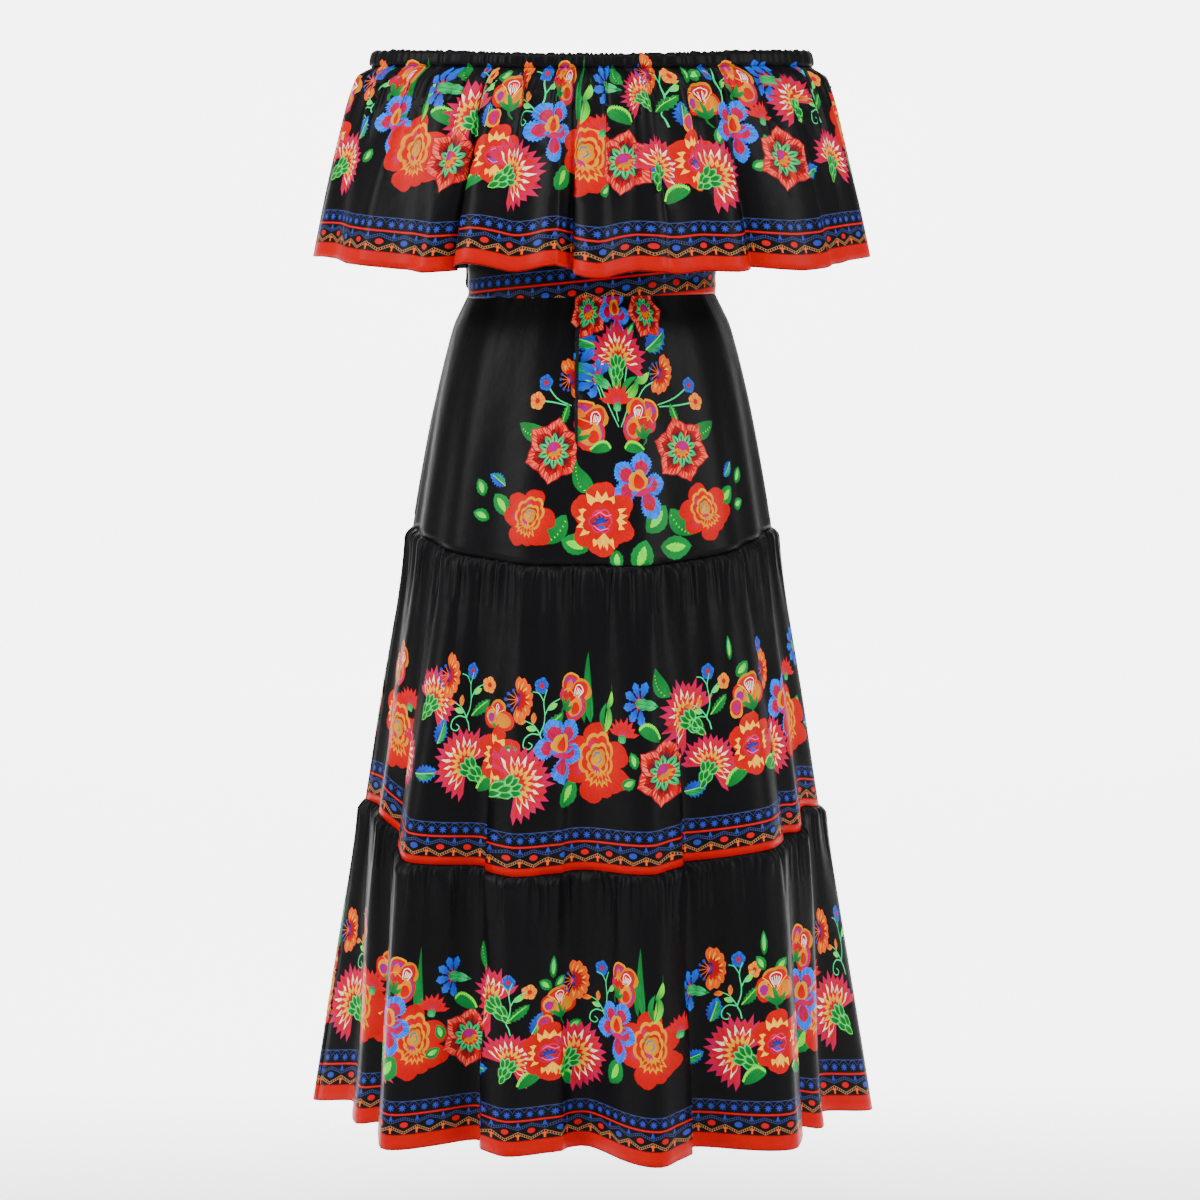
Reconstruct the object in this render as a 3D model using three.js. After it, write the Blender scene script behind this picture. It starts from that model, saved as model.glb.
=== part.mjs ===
// A long tiered dress with an off-the-shoulder flounce, standing open and hollow as when it is worn.
// Millimetres, +Z up, front towards -Y. Height 0 is the middle of the neck casing at the sides.
import * as THREE from 'three';

// Driving sizes
const CLOTH = 1.2;
const SEAM_GAP = 0.4;
const SIDE_GAP = 0.16;
const CASING_TOP = -8.5;
const CASING_BOTTOM = 8;
const CASING_THICK = 4;
const FLOUNCE_HEM = 209;
const WAIST_SEAM = 226;
const YOKE_SEAM = 504;
const MIDDLE_SEAM = 812;
const SKIRT_HEM = 1152;
const UNDERARM = 96;
const ARMHOLE_START = 52;

// Puckers of the casing, one over each gather of the flounce: how far they go in and up, and where
const PUCKER = { in: 0.9, up: 1.2, proud: 0.7, middle: 1 };

// Gathers in a half ring, and how far they stand out and reach down
const GATHERS = {
  waist: { crests: 6, rise: 1.0, reach: 70, start: 0.3 },
  middle: { crests: 18, rise: 2.3, reach: 48, start: 0.3 },
  bottom: { crests: 18, rise: 2.7, reach: 55, start: 0.3 },
  flounce: { crests: 18, rise: 2.6, reach: 75, start: 0.15 },
};

// Columns of points in a half ring: every one beside a seam, every second one away from it
const COLUMNS = 72;

// Sections of the skirt. below: drop under the neckline at the sides, halfWidth and halfDepth of the
// section, square: 2 is an ellipse and more is boxier, frontDrop: how much lower the front and back hang,
// turn: degrees over which the ring rises again towards the sides
const SKIRT_SECTIONS = [
  { below: 203, halfWidth: 131, halfDepth: 97.5, square: 2.1, frontDrop: 0, turn: 80 },
  { below: 258, halfWidth: 131.2, halfDepth: 97.8, square: 2.1, frontDrop: 0, turn: 80 },
  { below: 265, halfWidth: 138, halfDepth: 103, square: 2.1, frontDrop: 1, turn: 80 },
  { below: 281, halfWidth: 147.5, halfDepth: 110, square: 2.15, frontDrop: 4, turn: 80 },
  { below: 302, halfWidth: 154.5, halfDepth: 117, square: 2.2, frontDrop: 7, turn: 80 },
  { below: 368, halfWidth: 171, halfDepth: 132, square: 2.3, frontDrop: 15, turn: 80 },
  { below: 456, halfWidth: 188, halfDepth: 147, square: 2.35, frontDrop: 25, turn: 80 },
  { below: 504, halfWidth: 196, halfDepth: 153, square: 2.4, frontDrop: 31, turn: 80 },
  { below: 677, halfWidth: 227, halfDepth: 172, square: 2.5, frontDrop: 37, turn: 62 },
  { below: 812, halfWidth: 248, halfDepth: 184, square: 2.6, frontDrop: 40, turn: 55 },
  { below: 924, halfWidth: 269, halfDepth: 192, square: 2.6, frontDrop: 31, turn: 55 },
  { below: 1152, halfWidth: 306, halfDepth: 200, square: 2.6, frontDrop: 8, turn: 55 },
];

// Large folds of the skirt, one row for each crest or hollow. at: degrees from the middle of the front
// towards the wearer's left, hem and seam: how far it stands out there, with the drop of the edge there
const SKIRT_FOLDS = [
  { at: -92, hem: 8, hemDrop: 0, seam: 4, seamDrop: -8 },
  { at: -83, hem: -40, hemDrop: -9, seam: -14, seamDrop: -8 },
  { at: -71, hem: -30, hemDrop: -2, seam: -8, seamDrop: -18 },
  { at: -65, hem: -48, hemDrop: -9, seam: -20, seamDrop: -9 },
  { at: -51.5, hem: 13, hemDrop: 0, seam: 16, seamDrop: 1 },
  { at: -38.5, hem: -40, hemDrop: -6, seam: -18, seamDrop: 3 },
  { at: -23.5, hem: 12, hemDrop: -2, seam: 10, seamDrop: 9 },
  { at: -3, hem: -28, hemDrop: -4, seam: -14, seamDrop: 5 },
  { at: 17, hem: 32, hemDrop: 4, seam: 18, seamDrop: 5 },
  { at: 33, hem: -28, hemDrop: -2, seam: -16, seamDrop: -3 },
  { at: 51.5, hem: 6, hemDrop: 1, seam: 9, seamDrop: -12 },
  { at: 63.5, hem: -44, hemDrop: -6, seam: -16, seamDrop: -11 },
  { at: 69, hem: -32, hemDrop: 1, seam: -8, seamDrop: -5 },
  { at: 77, hem: -46, hemDrop: -5, seam: -16, seamDrop: -16 },
  { at: 87, hem: 7, hemDrop: 4, seam: 3, seamDrop: -4 },
  { at: 104, hem: -26, hemDrop: -3, seam: -12, seamDrop: 0 },
  { at: 118, hem: 14, hemDrop: 2, seam: 8, seamDrop: 0 },
  { at: 131, hem: -32, hemDrop: -4, seam: -15, seamDrop: 0 },
  { at: 146, hem: 16, hemDrop: 2, seam: 9, seamDrop: 2 },
  { at: 160, hem: -30, hemDrop: -4, seam: -14, seamDrop: 0 },
  { at: 176, hem: 20, hemDrop: 3, seam: 11, seamDrop: 2 },
  { at: 191, hem: -26, hemDrop: -3, seam: -12, seamDrop: 0 },
  { at: 207, hem: 17, hemDrop: 2, seam: 10, seamDrop: 1 },
  { at: 221, hem: -31, hemDrop: -4, seam: -15, seamDrop: 0 },
  { at: 236, hem: 15, hemDrop: 2, seam: 8, seamDrop: 0 },
  { at: 251, hem: -24, hemDrop: -3, seam: -11, seamDrop: -4 },
];
// Share of the hem's folds that shows at the waist and at the yoke seam
const FOLD_AT_WAIST = 0.01;
const FOLD_AT_YOKE = 0.16;

// Sections of the flounce, with the same columns
const FLOUNCE_SECTIONS = [
  { below: -9, halfWidth: 235.5, halfDepth: 121, square: 2.3, frontDrop: 9, turn: 80 },
  { below: 8, halfWidth: 238, halfDepth: 123, square: 2.3, frontDrop: 7, turn: 80 },
  { below: 22, halfWidth: 246, halfDepth: 130, square: 2.3, frontDrop: 8, turn: 75 },
  { below: 43, halfWidth: 255, halfDepth: 138, square: 2.3, frontDrop: 9, turn: 70 },
  { below: 86, halfWidth: 268, halfDepth: 150, square: 2.3, frontDrop: 11, turn: 60 },
  { below: 129, halfWidth: 279, halfDepth: 160, square: 2.35, frontDrop: 13, turn: 55 },
  { below: 209, halfWidth: 296, halfDepth: 177, square: 2.4, frontDrop: 17, turn: 50 },
];

// Large folds of the flounce: how far each stands out at the hem, and the drop of the hem there
const FLOUNCE_FOLDS = [
  { at: -88, hem: 6, hemDrop: -1 },
  { at: -76, hem: -8, hemDrop: -4 },
  { at: -63, hem: 7, hemDrop: -3 },
  { at: -54, hem: -5, hemDrop: -1 },
  { at: -47, hem: 9, hemDrop: 2 },
  { at: -42, hem: -11, hemDrop: 0 },
  { at: -36.5, hem: 12, hemDrop: -8 },
  { at: -24, hem: 1, hemDrop: 1 },
  { at: -13, hem: 7, hemDrop: -6 },
  { at: -6, hem: -10, hemDrop: -2 },
  { at: 1, hem: 11, hemDrop: 8 },
  { at: 16.5, hem: -7, hemDrop: 0 },
  { at: 27, hem: 6, hemDrop: 3 },
  { at: 35, hem: -1, hemDrop: 0 },
  { at: 42, hem: 10, hemDrop: 1 },
  { at: 47.5, hem: -11, hemDrop: -4 },
  { at: 59, hem: 6, hemDrop: 1 },
  { at: 72, hem: -6, hemDrop: -2 },
  { at: 84, hem: 6, hemDrop: -2 },
  { at: 97, hem: -7, hemDrop: 0 },
  { at: 110, hem: 7, hemDrop: 2 },
  { at: 123, hem: -8, hemDrop: -1 },
  { at: 137, hem: 8, hemDrop: 2 },
  { at: 151, hem: -8, hemDrop: -2 },
  { at: 165, hem: 9, hemDrop: 3 },
  { at: 179, hem: -8, hemDrop: -1 },
  { at: 193, hem: 8, hemDrop: 2 },
  { at: 207, hem: -8, hemDrop: -2 },
  { at: 221, hem: 8, hemDrop: 2 },
  { at: 235, hem: -8, hemDrop: -1 },
  { at: 248, hem: 7, hemDrop: 2 },
  { at: 260, hem: -7, hemDrop: 0 },
];
// Share of the flounce's folds at its top edge
const FOLD_AT_CASING = 0.05;

// Sections of the bodice at its underarm and its waist seam
const CHEST = { halfWidth: 160, halfDepth: 114, square: 2.2 };
const BODICE_WAIST = { halfWidth: 130.5, halfDepth: 96.5, square: 2.1 };

// The sash, its knot at the wearer's right side towards the back, and its two ends
const SASH = { top: 205, bottom: 254, rise: 2.5, halfWidth: 132.7, halfDepth: 99.3, square: 2.1, thick: 2.8 };
const KNOT = { at: -111, wide: 34, high: 44, deep: 14, corner: 5, clear: 0.4 };
const SASH_ENDS = [
  { name: 'sash_end_front', at: -107.2, lean: 4, wide: 40, long: 225, slant: 12 },
  { name: 'sash_end_back', at: -115.2, lean: -9, wide: 40, long: 262, slant: -12 },
];
// An end starts narrow in the middle of the knot's underside and settles this far off the yoke
const END_START = { narrow: 0.42, out: 6, settle: 45 };
const END_CLEAR = 1.6;

const KNOT_MIDDLE = (SASH.top + SASH.bottom) / 2 + SASH.rise;

const BLACK = 0x1b1a1c;
const RED = 0xe62a1c;
const BLUE_BLACK = 0x23283d;

// Curves and tables
const radians = (degrees) => THREE.MathUtils.degToRad(degrees);
const ease = (value) => THREE.MathUtils.smoothstep(value, 0, 1);
const mix = THREE.MathUtils.lerp;

// A column of a table at a drop between its rows, on a curve that never overshoots a row
function tableAt(rows, column, below) {
  const last = rows.length - 1;
  let i = 0;
  while (i < last - 1 && below > rows[i + 1].below) i += 1;
  const slope = (k) => (rows[k + 1][column] - rows[k][column]) / (rows[k + 1].below - rows[k].below);
  const tangent = (k) => {
    if (k === 0) return slope(0);
    if (k === last) return slope(last - 1);
    const [before, after] = [slope(k - 1), slope(k)];
    return before * after > 0 ? (2 * before * after) / (before + after) : 0;
  };
  const span = rows[i + 1].below - rows[i].below;
  const t = THREE.MathUtils.clamp((below - rows[i].below) / span, 0, 1);
  const [t2, t3] = [t * t, t * t * t];
  return (2 * t3 - 3 * t2 + 1) * rows[i][column] + (t3 - 2 * t2 + t) * span * tangent(i)
    + (3 * t2 - 2 * t3) * rows[i + 1][column] + (t3 - t2) * span * tangent(i + 1);
}

// A column of a table of folds at an angle, eased from each row to the next all the way round
function foldAt(rows, column, degrees) {
  const turn = THREE.MathUtils.euclideanModulo(degrees - rows[0].at, 360) + rows[0].at;
  let i = rows.length - 1;
  while (rows[i].at > turn) i -= 1;
  const next = rows[(i + 1) % rows.length];
  const end = i + 1 < rows.length ? next.at : next.at + 360;
  return mix(rows[i][column], next[column], ease((turn - rows[i].at) / (end - rows[i].at)));
}

// Distance from the axis to the outline of a section
function sectionRadius(angle, { halfWidth, halfDepth, square }) {
  const wide = Math.abs(Math.sin(angle)) / halfWidth;
  const deep = Math.abs(Math.cos(angle)) / halfDepth;
  return (wide ** square + deep ** square) ** (-1 / square);
}

function sectionAt(sections, below) {
  return {
    halfWidth: tableAt(sections, 'halfWidth', below),
    halfDepth: tableAt(sections, 'halfDepth', below),
    square: tableAt(sections, 'square', below),
  };
}

// How much of the front drop shows at an angle: all of it in front, most of it behind, little at the sides
function hangAt(degrees, turn) {
  const away = Math.abs(THREE.MathUtils.euclideanModulo(degrees + 180, 360) - 180);
  return ease((100 - away) / turn) + 0.85 * ease((away - 80) / turn);
}

// Share of the cloth's width that lies between the start of a half ring and an angle
function clothWidths(point, start) {
  const steps = 720;
  const lengths = [0];
  let last = point(start);
  for (let k = 1; k <= steps; k += 1) {
    const next = point(start + (180 * k) / steps);
    lengths.push(lengths[k - 1] + next.distanceTo(last));
    last = next;
  }
  return lengths.map((length) => length / lengths[steps]);
}

// Angles of the columns of a half ring, at equal steps along the cloth
function columnAngles(point, start, side) {
  const widths = clothWidths(point, start);
  const angles = [];
  let k = 0;
  for (let column = 0; column <= COLUMNS; column += 1) {
    const share = column / COLUMNS;
    while (k < widths.length - 2 && widths[k + 1] < share) k += 1;
    const part = (share - widths[k]) / (widths[k + 1] - widths[k]);
    angles.push(start + (180 * (k + part)) / (widths.length - 1));
  }
  angles[0] += side;
  angles[COLUMNS] -= side;
  return angles;
}

// Outward push of the gathers at a share of a half ring and a distance below their seam
function gatherAt({ crests, rise, reach, start }, share, under) {
  const wander = 0.1 * Math.sin(6 * Math.PI * share + 1) + 0.07 * Math.sin(14 * Math.PI * share);
  const wave = 0.5 + 0.5 * Math.cos(2 * Math.PI * (crests * share + wander));
  const grow = mix(start, 1, ease(under / 12));
  const uneven = 0.75 + 0.25 * Math.sin(10 * Math.PI * share + 0.6);
  return rise * wave * grow * uneven * Math.exp(-Math.max(0, under - 12) / reach);
}

// Surfaces
function ringPoint(degrees, radius, below) {
  const angle = radians(degrees);
  return new THREE.Vector3(radius * Math.sin(angle), -radius * Math.cos(angle), -below);
}

function skirtFold(degrees, below, hemColumn, seamColumn) {
  const hem = foldAt(SKIRT_FOLDS, hemColumn, degrees);
  const seam = foldAt(SKIRT_FOLDS, seamColumn, degrees);
  if (below >= MIDDLE_SEAM) return mix(seam, hem, ease((below - MIDDLE_SEAM) / (SKIRT_HEM - MIDDLE_SEAM)));
  const yoke = hemColumn === 'hem' ? FOLD_AT_YOKE * hem : 0;
  if (below >= YOKE_SEAM) return mix(yoke, seam, ease((below - YOKE_SEAM) / (MIDDLE_SEAM - YOKE_SEAM)));
  const waist = hemColumn === 'hem' ? FOLD_AT_WAIST * hem : 0;
  return mix(waist, yoke, ease((below - WAIST_SEAM) / (YOKE_SEAM - WAIST_SEAM)));
}

function skirtPoint(degrees, below, push = 0) {
  const radius = sectionRadius(radians(degrees), sectionAt(SKIRT_SECTIONS, below))
    + skirtFold(degrees, below, 'hem', 'seam') + push;
  const drop = tableAt(SKIRT_SECTIONS, 'frontDrop', below) * hangAt(degrees, tableAt(SKIRT_SECTIONS, 'turn', below))
    + skirtFold(degrees, below, 'hemDrop', 'seamDrop');
  return ringPoint(degrees, radius, below + drop);
}

function flouncePoint(degrees, below, push = 0) {
  const down = ease((below - CASING_BOTTOM) / (FLOUNCE_HEM - CASING_BOTTOM));
  const radius = sectionRadius(radians(degrees), sectionAt(FLOUNCE_SECTIONS, below))
    + mix(FOLD_AT_CASING, 1, down) * foldAt(FLOUNCE_FOLDS, 'hem', degrees) + push;
  const drop = down * foldAt(FLOUNCE_FOLDS, 'hemDrop', degrees)
    + tableAt(FLOUNCE_SECTIONS, 'frontDrop', below) * hangAt(degrees, tableAt(FLOUNCE_SECTIONS, 'turn', below));
  return ringPoint(degrees, radius, below + drop);
}

// Solids
// Joins two neighbouring rows of points, where one may have every second column of the other
function joinRows(faces, above, under, flip) {
  const add = (a, b, c) => faces.push(flip ? [a, c, b] : [a, b, c]);
  const steps = Math.min(above.length, under.length) - 1;
  for (let k = 0; k < steps; k += 1) {
    if (above.length === under.length) {
      add(above[k], under[k], under[k + 1]);
      add(above[k], under[k + 1], above[k + 1]);
    } else if (above.length > under.length) {
      add(above[2 * k], under[k], above[2 * k + 1]);
      add(above[2 * k + 1], under[k], under[k + 1]);
      add(above[2 * k + 1], under[k + 1], above[2 * k + 2]);
    } else {
      add(above[k], under[2 * k], under[2 * k + 1]);
      add(above[k], under[2 * k + 1], above[k + 1]);
      add(above[k + 1], under[2 * k + 1], under[2 * k + 2]);
    }
  }
}

function solid(points, faces) {
  const geometry = new THREE.BufferGeometry();
  geometry.setAttribute('position', new THREE.Float32BufferAttribute(points.flatMap((p) => [p.x, p.y, p.z]), 3));
  geometry.setIndex(faces.flat());
  geometry.computeVertexNormals();
  return geometry;
}

// A wall of cloth from rows of outer and inner points, top row first; a ring closes on itself
function wall(rows, ring = false) {
  const points = [];
  const put = (list) => {
    const first = points.length;
    points.push(...list);
    const indices = list.map((_, k) => first + k);
    return ring ? [...indices, first] : indices;
  };
  const outer = rows.map((row) => put(row.outer));
  const inner = rows.map((row) => put(row.inner));
  const faces = [];
  for (let k = 0; k + 1 < rows.length; k += 1) {
    joinRows(faces, outer[k], outer[k + 1], false);
    joinRows(faces, inner[k], inner[k + 1], true);
  }
  const last = rows.length - 1;
  joinRows(faces, inner[0], outer[0], false);
  joinRows(faces, outer[last], inner[last], false);
  if (!ring) {
    const edge = (grid, side) => grid.map((row) => row.at(side));
    joinRows(faces, edge(outer, 0), edge(inner, 0), false);
    joinRows(faces, edge(outer, -1), edge(inner, -1), true);
  }
  return solid(points, faces);
}

// The point of the inner face behind a point of a surface
function behind(surface, degrees, below, thick) {
  const step = { turn: 0.4, drop: 1.5 };
  const along = surface(degrees + step.turn, below).sub(surface(degrees - step.turn, below));
  const down = surface(degrees, below + step.drop).sub(surface(degrees, below - step.drop));
  const normal = down.cross(along).normalize();
  return surface(degrees, below).addScaledVector(normal, -thick);
}

// A half ring of gathered cloth. levels: drops of its rows, with fine: true on rows that keep every column
function gatheredPanel(point, angles, levels, gathers, seam) {
  const share = (degrees) => {
    let k = 0;
    while (k < COLUMNS - 1 && degrees > angles[k + 1]) k += 1;
    return (k + (degrees - angles[k]) / (angles[k + 1] - angles[k])) / COLUMNS;
  };
  const surface = (degrees, below) => point(degrees, below, gatherAt(gathers, share(degrees), below - seam));
  const rows = levels.map(({ below, fine }) => {
    const columns = angles.filter((_, k) => fine || k % 2 === 0);
    return {
      outer: columns.map((degrees) => surface(degrees, below)),
      inner: columns.map((degrees) => behind(surface, degrees, below, CLOTH)),
    };
  });
  return wall(rows);
}

// Rows of a tier: fine ones under its seam, wider apart below, and fine again at a sewn lower edge
function tierLevels(top, bottom, { fine, drops }, sewn) {
  const levels = drops.map((drop, k) => ({ below: top + drop, fine: k < fine }));
  return [...levels, { below: bottom, fine: sewn }];
}

const skirtAngles = [-90, 90].map((start) => {
  const point = (degrees) => skirtPoint(degrees, MIDDLE_SEAM);
  return columnAngles(point, start, THREE.MathUtils.radToDeg(SIDE_GAP / BODICE_WAIST.halfWidth));
});
const flounceAngles = [-90, 90].map((start) => {
  const point = (degrees) => flouncePoint(degrees, FLOUNCE_HEM);
  return columnAngles(point, start, THREE.MathUtils.radToDeg(SIDE_GAP / FLOUNCE_SECTIONS[0].halfWidth));
});

// The neck casing: a puckered channel, thick with its elastic
function casingHalf(angles) {
  const wave = (k) => 0.5 + 0.5 * Math.cos((2 * Math.PI * GATHERS.flounce.crests * k) / COLUMNS);
  const line = (below, { push = 0, pucker = 0, lift = 0 }) => angles.map((degrees, k) => (
    flouncePoint(degrees, below - lift * wave(k), push - pucker * (1 - wave(k)))
  ));
  const crown = { push: -CASING_THICK / 4, lift: PUCKER.up };
  const rows = [
    { outer: line(CASING_TOP, crown), inner: line(CASING_TOP, { ...crown, push: -0.75 * CASING_THICK }) },
    {
      outer: line(PUCKER.middle, { push: PUCKER.proud, pucker: PUCKER.in }),
      inner: line(PUCKER.middle, { push: -CASING_THICK }),
    },
    {
      outer: line(CASING_BOTTOM - SEAM_GAP / 2, {}),
      inner: line(CASING_BOTTOM - SEAM_GAP / 2, { push: -CASING_THICK }),
    },
  ];
  return wall(rows);
}

// The bodice: from the casing in front and behind, scooped under the arms, down to the waist
function bodiceHalf(start) {
  const steps = 28;
  const side = THREE.MathUtils.radToDeg(SIDE_GAP / BODICE_WAIST.halfWidth);
  const middle = start + 90;
  const topInset = CASING_THICK - CLOTH - 0.1;
  const shares = [0, 0.15, 0.38, 0.62, 0.82, 1];
  const rows = shares.map(() => ({ outer: [], inner: [] }));
  for (let k = 0; k <= steps; k += 1) {
    const degrees = THREE.MathUtils.clamp(start + (180 * k) / steps, start + side, start + 180 - side);
    const scoop = ease((Math.abs(degrees - middle) - ARMHOLE_START) / (90 - ARMHOLE_START));
    const angle = radians(degrees);
    const neck = flouncePoint(degrees, CASING_BOTTOM + SEAM_GAP / 2, -topInset);
    const neckRadius = Math.hypot(neck.x, neck.y);
    const topDrop = mix(-neck.z, UNDERARM, scoop);
    const chestShare = ease((topDrop + neck.z) / (UNDERARM + neck.z));
    const topRadius = mix(neckRadius, sectionRadius(angle, CHEST), Math.sqrt(chestShare));
    shares.forEach((share, row) => {
      const below = mix(topDrop, WAIST_SEAM - SEAM_GAP / 2, share);
      const chest = sectionRadius(angle, CHEST);
      const waist = sectionRadius(angle, BODICE_WAIST);
      const towardsWaist = ease((below - UNDERARM) / (SASH.top - SASH.rise - UNDERARM));
      const body = mix(chest, waist, towardsWaist);
      const radius = mix(topRadius, body, ease(share * 2.2));
      rows[row].outer.push(ringPoint(degrees, radius, below));
      rows[row].inner.push(ringPoint(degrees, radius - CLOTH, below));
    });
  }
  return wall(rows);
}

// The sash: a flat band round the waist that rises a little towards the wearer's left
function sashBand() {
  const steps = 48;
  const shares = [0, 0.5, 1];
  const rows = shares.map((share) => {
    const at = (thick) => Array.from({ length: steps }, (_, k) => {
      const degrees = (360 * k) / steps;
      const below = mix(SASH.top, SASH.bottom, share) - SASH.rise * Math.sin(radians(degrees));
      return ringPoint(degrees, sectionRadius(radians(degrees), SASH) + thick, below);
    });
    return { outer: at(SASH.thick), inner: at(0) };
  });
  return wall(rows, true);
}

// The knot: a rounded block that stands off the sash
function sashKnot() {
  const { wide, high, deep, corner } = KNOT;
  const bevel = 3;
  const outline = new THREE.Shape();
  const [x, y] = [wide / 2 - bevel, high / 2 - bevel];
  outline.moveTo(-x + corner, -y);
  outline.lineTo(x - corner, -y).quadraticCurveTo(x, -y, x, -y + corner);
  outline.lineTo(x, y - corner).quadraticCurveTo(x, y, x - corner, y);
  outline.lineTo(-x + corner, y).quadraticCurveTo(-x, y, -x, y - corner);
  outline.lineTo(-x, -y + corner).quadraticCurveTo(-x, -y, -x + corner, -y);
  const block = new THREE.ExtrudeGeometry(outline, {
    depth: deep - 2 * bevel,
    bevelThickness: bevel,
    bevelSize: bevel,
    bevelSegments: 1,
    curveSegments: 3,
  });
  return block.translate(0, 0, bevel);
}

// A hanging end of the sash, made from the yoke's own points moved out
function sashEnd({ at, lean, wide, long, slant }) {
  const top = KNOT_MIDDLE + KNOT.high / 2 + SEAM_GAP;
  const [acrossSteps, downSteps] = [4, 12];
  const start = sectionRadius(radians(at), SASH) + SASH.thick + END_START.out;
  const rows = [];
  for (let down = 0; down <= downSteps; down += 1) {
    const line = { outer: [], inner: [] };
    for (let across = -acrossSteps / 2; across <= acrossSteps / 2; across += 1) {
      const share = (down / downSteps) ** 1.3;
      const below = top + share * (long + (slant * across) / 2);
      const radius = sectionRadius(radians(at), sectionAt(SKIRT_SECTIONS, below));
      const width = wide * mix(END_START.narrow, 1, ease(share * 1.6));
      const degrees = at + lean * share + THREE.MathUtils.radToDeg((width * across) / (acrossSteps * radius));
      const skin = skirtPoint(degrees, below);
      const settled = Math.hypot(skin.x, skin.y) + GATHERS.waist.rise + END_CLEAR;
      const near = Math.max(mix(start, settled, ease((below - top) / END_START.settle)), settled);
      const drop = mix(below, -skin.z, ease(share * 4));
      line.outer.push(ringPoint(degrees, near + CLOTH, drop));
      line.inner.push(ringPoint(degrees, near, drop));
    }
    rows.push(line);
  }
  return wall(rows);
}

// The garment
const dress = new THREE.Group();

function cloth(name, geometry, color) {
  const material = new THREE.MeshStandardMaterial({ color, roughness: 0.55, metalness: 0 });
  const mesh = new THREE.Mesh(geometry, material);
  mesh.name = name;
  dress.add(mesh);
  return mesh;
}

// Rows of each panel: drops below its seam, and how many of them keep every column
const YOKE_ROWS = { fine: 0, drops: [0, 31, 38, 58, 95, 145, 205] };
const MIDDLE_ROWS = { fine: 3, drops: [0, 10, 26, 52, 100, 160, 230] };
const BOTTOM_ROWS = { fine: 3, drops: [0, 10, 26, 52, 105, 170, 250] };
const FLOUNCE_ROWS = { fine: 3, drops: [0, 10, 24, 48, 90, 140] };

['front', 'back'].forEach((side, half) => {
  const start = [-90, 90][half];
  const hem = SEAM_GAP / 2;
  const panel = (point, angles, top, bottom, drops, gathers, sewn) => {
    const levels = tierLevels(top + hem, sewn ? bottom - hem : bottom, drops, sewn);
    return gatheredPanel(point, angles[half], levels, gathers, top);
  };
  cloth(`neck_casing_${side}`, casingHalf(flounceAngles[half]), BLACK);
  cloth(`flounce_${side}`,
    panel(flouncePoint, flounceAngles, CASING_BOTTOM, FLOUNCE_HEM, FLOUNCE_ROWS, GATHERS.flounce, false), RED);
  cloth(`bodice_${side}`, bodiceHalf(start), BLACK);
  cloth(`yoke_${side}`,
    panel(skirtPoint, skirtAngles, WAIST_SEAM, YOKE_SEAM, YOKE_ROWS, GATHERS.waist, true), BLACK);
  cloth(`middle_tier_${side}`,
    panel(skirtPoint, skirtAngles, YOKE_SEAM, MIDDLE_SEAM, MIDDLE_ROWS, GATHERS.middle, true), BLUE_BLACK);
  cloth(`bottom_tier_${side}`,
    panel(skirtPoint, skirtAngles, MIDDLE_SEAM, SKIRT_HEM, BOTTOM_ROWS, GATHERS.bottom, false), BLACK);
});

cloth('sash', sashBand(), BLUE_BLACK);
const knot = cloth('sash_knot', sashKnot(), BLUE_BLACK);
const sashSurface = (degrees) => ringPoint(degrees, sectionRadius(radians(degrees), SASH) + SASH.thick, 0);
const alongSash = sashSurface(KNOT.at + 1).sub(sashSurface(KNOT.at - 1));
const offSash = new THREE.Vector3(alongSash.y, -alongSash.x, 0).normalize();
knot.position.copy(sashSurface(KNOT.at)).addScaledVector(offSash, KNOT.clear);
knot.position.z = -KNOT_MIDDLE;
knot.rotation.set(Math.PI / 2, Math.atan2(offSash.x, -offSash.y), 0, 'ZXY');
SASH_ENDS.forEach((end) => cloth(end.name, sashEnd(end), BLUE_BLACK));

export default dress;
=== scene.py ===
# %% [markdown]
# # A tiered dress with an off-the-shoulder flounce, in flower-printed cloth
#
# The dress stands hollow, in the shape that it has when it is worn. Its solids come from the packed
# model, which fixes every size. This lesson gives each of them its cloth: a thin sheet in the same
# place, with finer gathers, a flower print that follows the folds, and a woven, slightly glossy finish.

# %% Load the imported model
import math

import bpy
import numpy as np
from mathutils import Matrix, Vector
from mathutils.geometry import delaunay_2d_cdt


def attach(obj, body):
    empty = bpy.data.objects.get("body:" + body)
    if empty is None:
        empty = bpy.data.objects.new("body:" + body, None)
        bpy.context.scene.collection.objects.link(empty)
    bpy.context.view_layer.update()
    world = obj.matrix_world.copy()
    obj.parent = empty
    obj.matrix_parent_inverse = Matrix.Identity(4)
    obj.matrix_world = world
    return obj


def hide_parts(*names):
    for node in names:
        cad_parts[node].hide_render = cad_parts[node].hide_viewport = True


MM = 0.001
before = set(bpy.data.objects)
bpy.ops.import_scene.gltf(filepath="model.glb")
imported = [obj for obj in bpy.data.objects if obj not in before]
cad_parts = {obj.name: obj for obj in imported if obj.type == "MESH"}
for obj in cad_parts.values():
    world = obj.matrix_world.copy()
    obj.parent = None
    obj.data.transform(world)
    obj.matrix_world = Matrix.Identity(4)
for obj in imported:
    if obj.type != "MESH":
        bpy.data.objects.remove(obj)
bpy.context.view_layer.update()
print("solids:", len(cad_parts))

# %% [markdown]
# ## The camera
#
# The photograph was taken from straight in front, from a little above the waist, with a long lens that
# keeps the tiers level. The camera stands 3.6 m away and looks down by six degrees.

# %% Camera
LENS, SENSOR_WIDTH, FAR_LIMIT = 98, 36, 60
CAMERA_PLACE = (0.0088, -3.5789, -0.1993)
CAMERA_TILT = 83.8

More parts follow.
